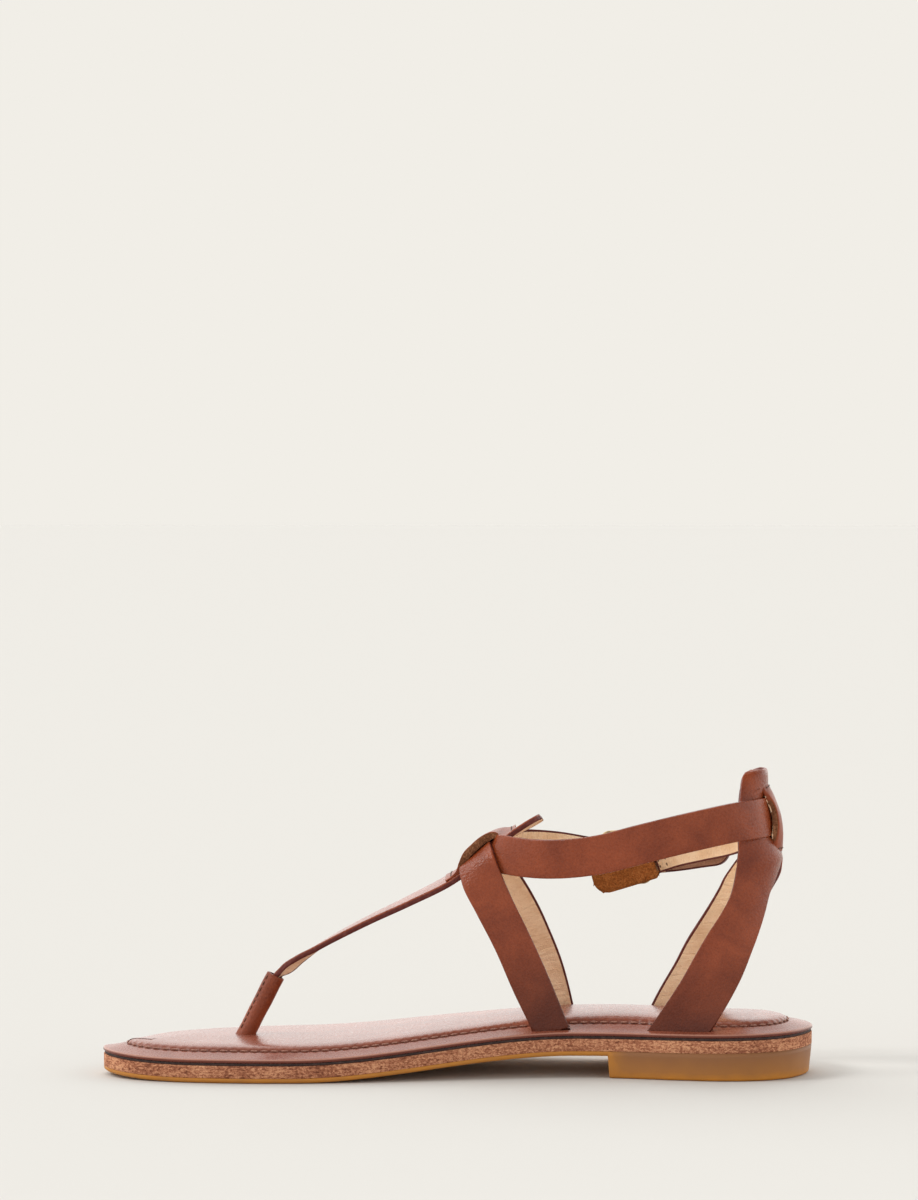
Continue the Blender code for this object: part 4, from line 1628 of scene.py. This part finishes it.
@dataclass
class HeelStrap:
    """The heel strap: two legs from the sole that join behind the heel.

    Each row holds height, front edge x and y, rear edge x and y, and bow of one side.
    """

    wall: float = 2.0
    step: float = 0.8
    columns: int = 20
    eased: float = 0.42
    foot: float = 15.4
    slot_top: float = 27.0
    slot_eased: float = 0.3
    # points on the inner side of the strap and of its feet
    inside: tuple[float, float, float] = (82.0, 0.0, 60.0)
    inside_feet: tuple[float, float, float] = (76.0, 0.0, 17.0)
    # height, how far back the lateral side's front and rear edge stand
    lateral: Table = (
        (15.0, -0.4, 0.0), (25.0, -2.1, 0.0), (36.0, -2.7, -0.3), (45.0, -3.1, -0.4), (50.0, -3.0, -0.3),
        (57.0, -3.3, 0.0), (63.0, -3.2, 1.3), (66.0, -2.8, 1.6), (69.0, -1.5, 1.5), (73.6, 1.1, 0.4),
        (76.0, 2.4, 0.0), (80.0, 3.2, 0.0), (106.0, 3.2, 0.0),
    )
    rows: Table = (
        (8.0, 59.4, -20.2, 81.4, -25.0, 0.2),
        (19.0, 67.2, -22.0, 88.6, -25.6, 0.4),
        (27.0, 72.5, -23.4, 93.6, -24.4, 0.8),
        (35.0, 77.5, -24.1, 97.9, -22.4, 1.2),
        (43.0, 81.9, -23.4, 101.2, -19.9, 1.5),
        (50.0, 86.0, -21.8, 103.9, -17.0, 1.7),
        (57.0, 90.6, -20.2, 106.2, -13.4, 2.0),
        (63.0, 93.9, -19.2, 107.8, -9.8, 2.4),
        (68.0, 95.4, -18.4, 109.9, -5.4, 3.2),
        (71.5, 96.0, -17.8, 111.2, -2.4, 4.0),
        (73.6, 96.3, -17.5, 111.8, -0.8, 4.6),
        (75.0, 96.4, -17.3, 112.0, 0.0, 4.8),
        (78.0, 96.7, -16.9, 111.4, 0.0, 4.6),
        (84.0, 96.9, -16.3, 107.7, 0.0, 3.6),
        (90.0, 97.0, -15.6, 106.5, 0.0, 3.2),
        (95.0, 97.2, -14.4, 105.7, 0.0, 3.0),
        (98.8, 97.4, -13.0, 106.6, 0.0, 2.9),
        (102.0, 97.7, -11.4, 106.7, 0.0, 2.8),
        (104.2, 98.2, -9.8, 106.5, 0.0, 2.7),
        (105.2, 99.2, -8.2, 106.2, 0.0, 2.3),
        (105.7, 100.7, -6.1, 105.8, 0.0, 1.7),
    )

    def half_sheet(self, low: float, top: float, out: float, longer: float) -> bmesh.types.BMesh:
        """The outer surface of the medial side between two heights.

        Args:
            low: The lower height.
            top: The upper height.
            out: Distance out from the outer surface.
            longer: Space past each edge.

        Returns:
            An open sheet.
        """
        table = np.array(self.rows)
        heights = np.linspace(low, top, int(round((top - low) / self.step)) + 1)
        values = through(table[:, 0], table[:, 1:], heights)
        front, rear, bow = values[:, 0:2], values[:, 2:4], values[:, 4]
        chord = unit(rear - front)
        front, rear = front - longer * chord, rear + longer * chord
        outward = np.column_stack((chord[:, 1], -chord[:, 0]))
        shape = bmesh.new()
        length_map = shape.loops.layers.uv.new("length")
        share_of = shape.verts.layers.float.new("share")
        bmesh.ops.create_grid(shape, x_segments=len(heights) - 1, y_segments=self.columns, size=1.0)
        for vert in shape.verts:
            row = round((vert.co.x + 1) / 2 * (len(heights) - 1))
            width = float(np.linalg.norm(rear[row] - front[row]))
            share = (vert.co.y + 1) / 2
            if round(abs(vert.co.y) * self.columns) == self.columns - 2:
                lap = min(PAINT_LAP / width, 1 / self.columns)
                share = (1 + math.copysign(1 - 2 * lap, vert.co.y)) / 2
            vert[share_of] = share
            for loop in vert.link_loops:
                loop[length_map].uv = (heights[row] * MM, share * width * MM)
            spot = front[row] + share * (rear[row] - front[row])
            spot = spot + (4 * bow[row] * share * (1 - share) + out) * outward[row]
            vert.co = (spot[0], spot[1], heights[row])
        return shape

    def build(self) -> bpy.types.Object:
        """Both sides, welded where they meet behind the heel.

        Returns:
            The heel strap.
        """
        shape = self.half_sheet(self.foot, self.rows[-1][0], 0.0, 0.0)
        for vert in shape.verts:
            vert.co.y = min(vert.co.y, 0.0)
        everything = shape.verts[:] + shape.edges[:] + shape.faces[:]
        bmesh.ops.mirror(shape, geom=everything, matrix=Matrix(), merge_dist=1e-3, axis="Y")
        share_of = shape.verts.layers.float["share"]
        table = np.array(self.lateral)
        shifts = through(table[:, 0], table[:, 1:], np.array([vert.co.z for vert in shape.verts]))
        for vert, (front, rear) in zip(shape.verts, shifts):
            if vert.co.y > 0.0:
                vert.co.x += front * (1 - vert[share_of]) + rear * vert[share_of]
        thicken(shape, Vector(self.inside), self.wall, self.eased)
        strap = make_piece("heel_strap", shape, STRAP_HIDE, PALE_LINING, EDGE_PAINT)
        return settle(strap, Slot.STRAP, "upper")

    def cutters(self, room: float, longer: float) -> list[bmesh.types.BMesh]:
        """Shapes for the two slots that the legs go through.

        Args:
            room: Space on each face.
            longer: Space past each edge.

        Returns:
            The cutters, medial and lateral.
        """
        made = []
        for flip in (1.0, -1.0):
            shape = self.half_sheet(self.rows[0][0], self.slot_top, room, longer)
            bmesh.ops.scale(shape, verts=shape.verts, vec=(1.0, flip, 1.0))
            thicken(shape, Vector(self.inside_feet), self.wall + 2 * room, self.slot_eased)
            made.append(shape)
        return made


@dataclass
class ToePost:
    """The toe post: leather rolled to a tube and sewn along its front."""

    foot: tuple[float, float, float] = (-81.2, -2.0, -1.4)
    top: tuple[float, float, float] = (-63.5, -2.0, 33.0)
    radius: float = 2.85
    wall: float = 0.9
    eased: float = 0.25
    hidden: float = 0.27
    seam_proud: float = 0.7
    seam_width: float = 0.36
    stitch_turn: float = 0.42
    stitch_run: tuple[float, float] = (0.42, 0.98)
    stitch_lift: float = 0.05
    stitch_points: int = 60
    # height of a wave in the skin, its turns up the post and around it
    waves: Table = ((0.05, 9.0, 2.0), (0.035, 23.0, -1.0))
    spokes: int = 48
    rows: int = 44

    def axes(self) -> tuple[np.ndarray, np.ndarray, np.ndarray]:
        """The post's directions.

        Returns:
            The way up it, its front and its side.
        """
        along = unit(np.array(self.top) - np.array(self.foot))
        front = unit(np.cross((0.0, 1.0, 0.0), along)) * -1.0
        return along, front, np.cross(along, front)

    def spot(self, share: float, turn: float, lift: float = 0.0) -> np.ndarray:
        """A point on the post's skin.

        Args:
            share: How far up the post, from 0 to 1.
            turn: Angle from its front.
            lift: Distance out from the skin.

        Returns:
            The point.
        """
        _, front, side = self.axes()
        middle = np.array(self.foot) + share * (np.array(self.top) - np.array(self.foot))
        ridge = self.seam_proud * math.exp(-(turn / self.seam_width) ** 2)
        swell = sum(height * math.sin(up * share + around * turn) for height, up, around in self.waves)
        reach = self.radius + ridge + swell + lift
        return middle + reach * (math.cos(turn) * front + math.sin(turn) * side)

    def shape(self, radius_room: float = 0.0) -> bmesh.types.BMesh:
        """The tube's outer skin as an open sheet.

        Args:
            radius_room: Space added around it.

        Returns:
            The sheet.
        """
        shape = bmesh.new()
        turn = shape.verts.layers.float.new("turn")
        for vert in bmesh.ops.create_circle(shape, segments=self.spokes, radius=1.0)["verts"]:
            vert[turn] = math.atan2(vert.co.y, vert.co.x)
        verts, edges = shape.verts[:], shape.edges[:]
        for row in range(self.rows + 1):
            if row:
                verts, edges = extrude_ring(shape, edges)
            for vert in verts:
                share = self.hidden + (1 - self.hidden) * row / self.rows
                vert.co = self.spot(share, vert[turn], radius_room)
        return shape

    def build(self) -> list[bpy.types.Object]:
        """The post and its stitches.

        Returns:
            Post and stitches.
        """
        shape = self.shape()
        middle = sum((vert.co for vert in shape.verts), Vector()) / len(shape.verts)
        thicken(shape, middle, self.wall, self.eased)
        post = make_piece("toe_post", shape, POST_HIDE, PALE_LINING, EDGE_PAINT)
        settle(post, Slot.STRAP, "toe_post")
        sewn = bmesh.new()
        _, front, side = self.axes()
        shares = np.linspace(*self.stitch_run, self.stitch_points)
        for turn in (-self.stitch_turn, self.stitch_turn):
            line = np.array([self.spot(share, turn, self.stitch_lift) for share in shares])
            out = math.cos(turn) * front + math.sin(turn) * side
            POST_SEAM.sew(sewn, line, np.tile(out, (self.stitch_points, 1)))
        return [post, settle(make_piece("toe_post_stitching", sewn, DARK_THREAD), Slot.STRAP)]

    def cutter(self, room: float) -> bmesh.types.BMesh:
        """A shape for the hole that the post goes through.

        Args:
            room: Space around the post.

        Returns:
            The cutter.
        """
        shape = self.shape(room)
        close_ends(shape)
        return shape


@dataclass
class Buckle:
    """A wire frame on a bar held by the folded strap end, and its prong."""

    front: tuple[float, float, float] = (50.0, 28.9, 71.6)
    bar: tuple[float, float, float] = (65.7, 27.2, 72.9)
    height: float = 17.4
    corner: float = 2.6
    wire: float = 1.1
    gap: float = 0.3
    prong_wire: float = 0.8
    prong_root: float = 0.72
    prong_curl: tuple[float, float] = (-170.0, 70.0)
    # where the prong's straight run starts before the bar and ends short of the frame's front
    prong_start: float = 0.6
    prong_short: float = 2.0
    # distance past the straight run, radius there
    prong_tip: Table = ((1.6, 0.8), (2.6, 0.62), (3.1, 0.3))
    prong_notch: float = 3.0
    sleeve_radius: float = 2.1
    sleeve_wall: float = 1.25
    sleeve_length: float = 12.6
    # place along and outward from the bar and the way the face looks, before and after the bend
    fold_start: Table = ((6.0, 0.64, 90.0), (4.6, 0.79, 90.0), (2.6, 1.5, 75.0))
    fold_bend: tuple[float, float] = (62.0, 298.0)
    fold_end: Table = ((2.3, -1.6, 288.0),)

    def axes(self) -> tuple[np.ndarray, np.ndarray, np.ndarray, np.ndarray]:
        """The frame's place and directions.

        Returns:
            Its middle, and the ways along it, up it and out of it.
        """
        front, bar = np.array(self.front), np.array(self.bar)
        along = unit(bar - front)
        outward = unit(np.cross((0.0, 0.0, 1.0), along))
        return (front + bar) / 2, along, np.cross(along, outward), outward

    def build_frame(self) -> bpy.types.Object:
        """The frame's closed wire.

        Returns:
            The frame.
        """
        middle, along, height, outward = self.axes()
        reach = float(np.linalg.norm(np.array(self.bar) - np.array(self.front))) / 2
        tall = self.height / 2
        path = []
        for quarter, (sign_a, sign_h) in enumerate(((1, 1), (-1, 1), (-1, -1), (1, -1))):
            for angle in np.radians(np.linspace(90 * quarter, 90 * quarter + 90, 9)):
                a = sign_a * (reach - self.corner) + self.corner * np.cos(angle)
                h = sign_h * (tall - self.corner) + self.corner * np.sin(angle)
                path.append(middle + a * along + h * height)
        shape = sweep(np.array(path), np.full(len(path), self.wire), 16, outward, closed=True)
        return settle(make_piece("buckle_frame", shape, AGED_BRASS), Slot.BRASS, "buckle_frame")

    def build_prong(self) -> bpy.types.Object:
        """The prong, bent round the bar and lying over the frame's front.

        Returns:
            The prong.
        """
        _, along, height, outward = self.axes()
        bar, front = np.array(self.bar), np.array(self.front)
        turn = self.wire + self.gap + self.prong_wire
        lift = turn * outward
        path = []
        for angle in np.radians(np.linspace(*self.prong_curl, 17)):
            path.append(bar + turn * (np.cos(angle) * along + np.sin(angle) * outward))
        start = bar + lift - self.prong_start * along
        end = front + lift + self.prong_short * along
        path += list(np.linspace(start, end, 8))
        radii = [self.prong_root] + [self.prong_wire] * (len(path) - 1)
        for past, radius in self.prong_tip:
            path.append(end - past * along)
            radii.append(radius)
        shape = sweep(np.array(path), np.array(radii), 14, height, closed=False)
        return settle(make_piece("buckle_prong", shape, AGED_BRASS), Slot.BRASS, "buckle_prong")

    def build_sleeves(self) -> list[bpy.types.Object]:
        """The folded strap end on each side of the prong.

        Returns:
            Upper and lower sleeve.
        """
        _, along, height, outward = self.axes()
        bar = np.array(self.bar)
        width = (self.sleeve_length - self.prong_notch) / 2
        made = []
        for name, side in (("sleeve_upper", 1.0), ("sleeve_lower", -1.0)):
            middle = bar + side * (self.prong_notch + width) / 2 * height
            rows = []
            for a, o, angle in self.fold():
                spot = middle + a * along + o * outward
                turn = math.radians(angle)
                facing = math.cos(turn) * along + math.sin(turn) * outward
                heading = math.degrees(math.atan2(facing[1], facing[0]))
                lean = math.degrees(math.asin(facing[2]))
                rows.append((*spot, width, heading, lean, 0.0))
            fold = Band(name, unwound(rows), self.sleeve_wall, step=0.4, columns=6, eased=0.3)
            made.append(fold.build(Slot.STRAP, ("upper",), STRAP_HIDE, PALE_LINING, EDGE_PAINT))
        return made

    def fold(self) -> list[tuple[float, float, float]]:
        """The fold round the bar.

        Returns:
            Places along and outward from the bar, with the way the face looks there.
        """
        bend = []
        for angle in np.linspace(*self.fold_bend, 15):
            turn = math.radians(angle)
            bend.append((self.sleeve_radius * math.cos(turn), self.sleeve_radius * math.sin(turn), angle))
        return [*self.fold_start, *bend, *self.fold_end]


def unwound(rows: list[tuple[float, ...]]) -> Table:
    """Rows with their turns run on past a full circle, so that none jumps back.

    Args:
        rows: Strap rows with the turn in the fifth place.

    Returns:
        The rows.
    """
    turns = np.degrees(np.unwrap(np.radians([row[4] for row in rows])))
    return tuple((*row[:4], turn, *row[5:]) for row, turn in zip(rows, turns))


@dataclass
class Upper:
    """The straps, loops, toe post and buckle, with their stitches."""

    post: ToePost = field(default_factory=ToePost)
    heel: HeelStrap = field(default_factory=HeelStrap)
    buckle: Buckle = field(default_factory=Buckle)
    slot_reach: float = 16.0
    slot_room: float = 0.15
    slot_longer: float = 0.15
    # distances along a strap of its rows of stitches, from its end if negative
    instep_rows: tuple[float, ...] = (2.4, -1.5)
    heel_rows: tuple[float, ...] = (1.2, -1.2)
    sleeve_rows: tuple[float, ...] = (-0.9, -3.3)

    def cutters(self) -> list[bmesh.types.BMesh]:
        """Shapes of every slot and hole in the footbed.

        Returns:
            The cutters.
        """
        made = []
        for band in (MEDIAL_STRAP, LATERAL_STRAP):
            made.append(band.cutter(self.slot_reach, self.slot_room, self.slot_longer))
        made += self.heel.cutters(self.slot_room, self.slot_longer)
        return made + [self.post.cutter(self.slot_room)]

    def build(self) -> list[bpy.types.Object]:
        """Build every piece of the upper.

        Returns:
            The pieces.
        """
        worn = (STRAP_HIDE, PALE_LINING, EDGE_PAINT, SHADED_TAIL_LINING)
        straps = (T_STRAP, LATERAL_STRAP, MEDIAL_STRAP)
        made = [band.build(Slot.STRAP, ("upper",), *worn) for band in straps]
        made.append(self.heel.build())
        made.append(INSTEP_LOOP.build(Slot.STRAP, ("instep_loop",), LOOP_HIDE, RAW_EDGE, RAW_EDGE))
        made.append(HEEL_LOOP.build(Slot.STRAP, ("heel_loop",), LOOP_HIDE, PALE_LINING, RAW_EDGE))
        made.append(BUCKLE_PAD.build(Slot.SUEDE, ("buckle_pad",), BROWN_SUEDE, BROWN_SUEDE, BROWN_SUEDE))
        made += [self.buckle.build_frame(), self.buckle.build_prong()] + self.buckle.build_sleeves()
        made += self.post.build()
        return made + [self.build_stitching()]

    def build_stitching(self) -> bpy.types.Object:
        """Stitches of the loops and of the buckle's strap end.

        Returns:
            The stitches.
        """
        shape = bmesh.new()
        for place in self.instep_rows:
            INSTEP_LOOP.sew_across(LOOP_SEAM, shape, place, 0.9, Skin.OUTER)
        for place in self.heel_rows:
            HEEL_LOOP.sew_across(LOOP_SEAM, shape, place, 0.8, Skin.OUTER)
        for place in self.sleeve_rows:
            for face in (Skin.INNER, Skin.OUTER):
                LATERAL_STRAP.sew_across(SLEEVE_SEAM, shape, place, 0.86, face)
        return settle(make_piece("upper_stitching", shape, DARK_THREAD), Slot.STRAP)


# Studio


@dataclass(frozen=True)
class Lamp:
    """A distant lamp: its energy, the angle that it fills and its turn, in degrees."""

    name: str
    energy: float
    angle: float
    turn: tuple[float, float, float]


@dataclass
class Studio:
    """Pale floor, soft light and the photograph's camera."""

    floor_size: float = 30.0
    backdrop: Colour = (0.880, 0.855, 0.799)
    light: Colour = (1.0, 0.985, 0.96)
    ambient: float = 0.30
    fill: float = 0.78
    glow: float = 1.46
    # sideways direction from fill to glow, and height from none of it to all of it
    glow_turn: tuple[float, float] = (-0.75, 0.1)
    glow_height: tuple[float, float] = (0.85, 0.35)
    lamps: tuple[Lamp, ...] = (
        Lamp("key", 1.3, 60.0, (-30.0, -18.0, 0.0)),
        Lamp("accent", 0.95, 18.0, (11.5, -44.0, 0.0)),
    )
    camera_place: tuple[float, float, float] = (69.2, -1584.8, 208.8)
    camera_turn: tuple[float, float, float] = (82.5, 0.0, 2.5)
    lens: float = 137.4
    sensor: float = 36.0
    shift_y: float = 0.3915

    def build_floor(self) -> None:
        """The floor, which isn't part of the object."""
        shape = bmesh.new()
        bmesh.ops.create_grid(shape, x_segments=1, y_segments=1, size=self.floor_size / 2)
        floor = new_object("floor", shape)
        floor.data.materials.append(FLOOR_PAPER.material())

    def build_world(self) -> None:
        """Even light from all round, with a low band that is brightest beside and behind the shoe."""
        world = bpy.data.worlds.new("studio")
        world.use_nodes = True
        bpy.context.scene.world = world
        tree = world.node_tree
        tree.nodes.clear()
        coords = tree.nodes.new("ShaderNodeTexCoord")
        split = tree.nodes.new("ShaderNodeSeparateXYZ")
        tree.links.new(coords.outputs["Generated"], split.inputs[0])
        fades = []
        bands = (("Y", *self.glow_turn, self.fill, self.glow), ("Z", *self.glow_height, 0.0, 1.0))
        for axis, *limits in bands:
            fade = tree.nodes.new("ShaderNodeMapRange")
            fade.interpolation_type = "SMOOTHSTEP"
            for name, value in zip(("From Min", "From Max", "To Min", "To Max"), limits):
                fade.inputs[name].default_value = value
            tree.links.new(split.outputs[axis], fade.inputs["Value"])
            fades.append(fade)
        lit = tree.nodes.new("ShaderNodeMath")
        lit.operation = "MULTIPLY_ADD"
        tree.links.new(fades[0].outputs["Result"], lit.inputs[0])
        tree.links.new(fades[1].outputs["Result"], lit.inputs[1])
        lit.inputs[2].default_value = self.ambient
        around = tree.nodes.new("ShaderNodeBackground")
        around.inputs["Color"].default_value = (*self.light, 1.0)
        tree.links.new(lit.outputs[0], around.inputs["Strength"])
        seen = tree.nodes.new("ShaderNodeBackground")
        seen.inputs["Color"].default_value = (*self.backdrop, 1.0)
        path = tree.nodes.new("ShaderNodeLightPath")
        mix = tree.nodes.new("ShaderNodeMixShader")
        tree.links.new(path.outputs["Is Camera Ray"], mix.inputs[0])
        tree.links.new(around.outputs[0], mix.inputs[1])
        tree.links.new(seen.outputs[0], mix.inputs[2])
        out = tree.nodes.new("ShaderNodeOutputWorld")
        tree.links.new(mix.outputs[0], out.inputs[0])

    def build_lamps(self) -> None:
        """A broad soft key from above and behind, and a narrower one from the toe's side."""
        for lamp in self.lamps:
            sun = bpy.data.lights.new(lamp.name, "SUN")
            sun.energy = lamp.energy
            sun.angle = math.radians(lamp.angle)
            sun.color = self.light
            hung = bpy.data.objects.new(lamp.name, sun)
            hung.rotation_euler = tuple(math.radians(angle) for angle in lamp.turn)
            bpy.context.scene.collection.objects.link(hung)

    def build_camera(self) -> None:
        """The camera, at the photograph's angle and framing."""
        lens = bpy.data.cameras.new("camera")
        lens.lens = self.lens
        lens.sensor_width = self.sensor
        lens.shift_y = self.shift_y
        camera = bpy.data.objects.new("camera", lens)
        x, y, z = self.camera_place
        camera.location = (x * MM, (y - SIDE_MIDDLE) * MM, z * MM)
        camera.rotation_euler = tuple(math.radians(angle) for angle in self.camera_turn)
        bpy.context.scene.collection.objects.link(camera)
        bpy.context.scene.camera = camera

    def build(self) -> None:
        """Set up the studio."""
        bpy.context.scene.view_settings.view_transform = "Standard"
        self.build_floor()
        self.build_world()
        self.build_lamps()
        self.build_camera()


def main() -> None:
    """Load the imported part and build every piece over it."""
    logging.basicConfig(level=logging.INFO, format="%(name)s %(message)s")
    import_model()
    sole, upper = Sole(), Upper()
    sole.build_outsole()
    sole.build_core()
    sole.build_footbed(upper.cutters())
    sole.build_stitching()
    upper.build()
    Studio().build()


if __name__ == "__main__":
    main()
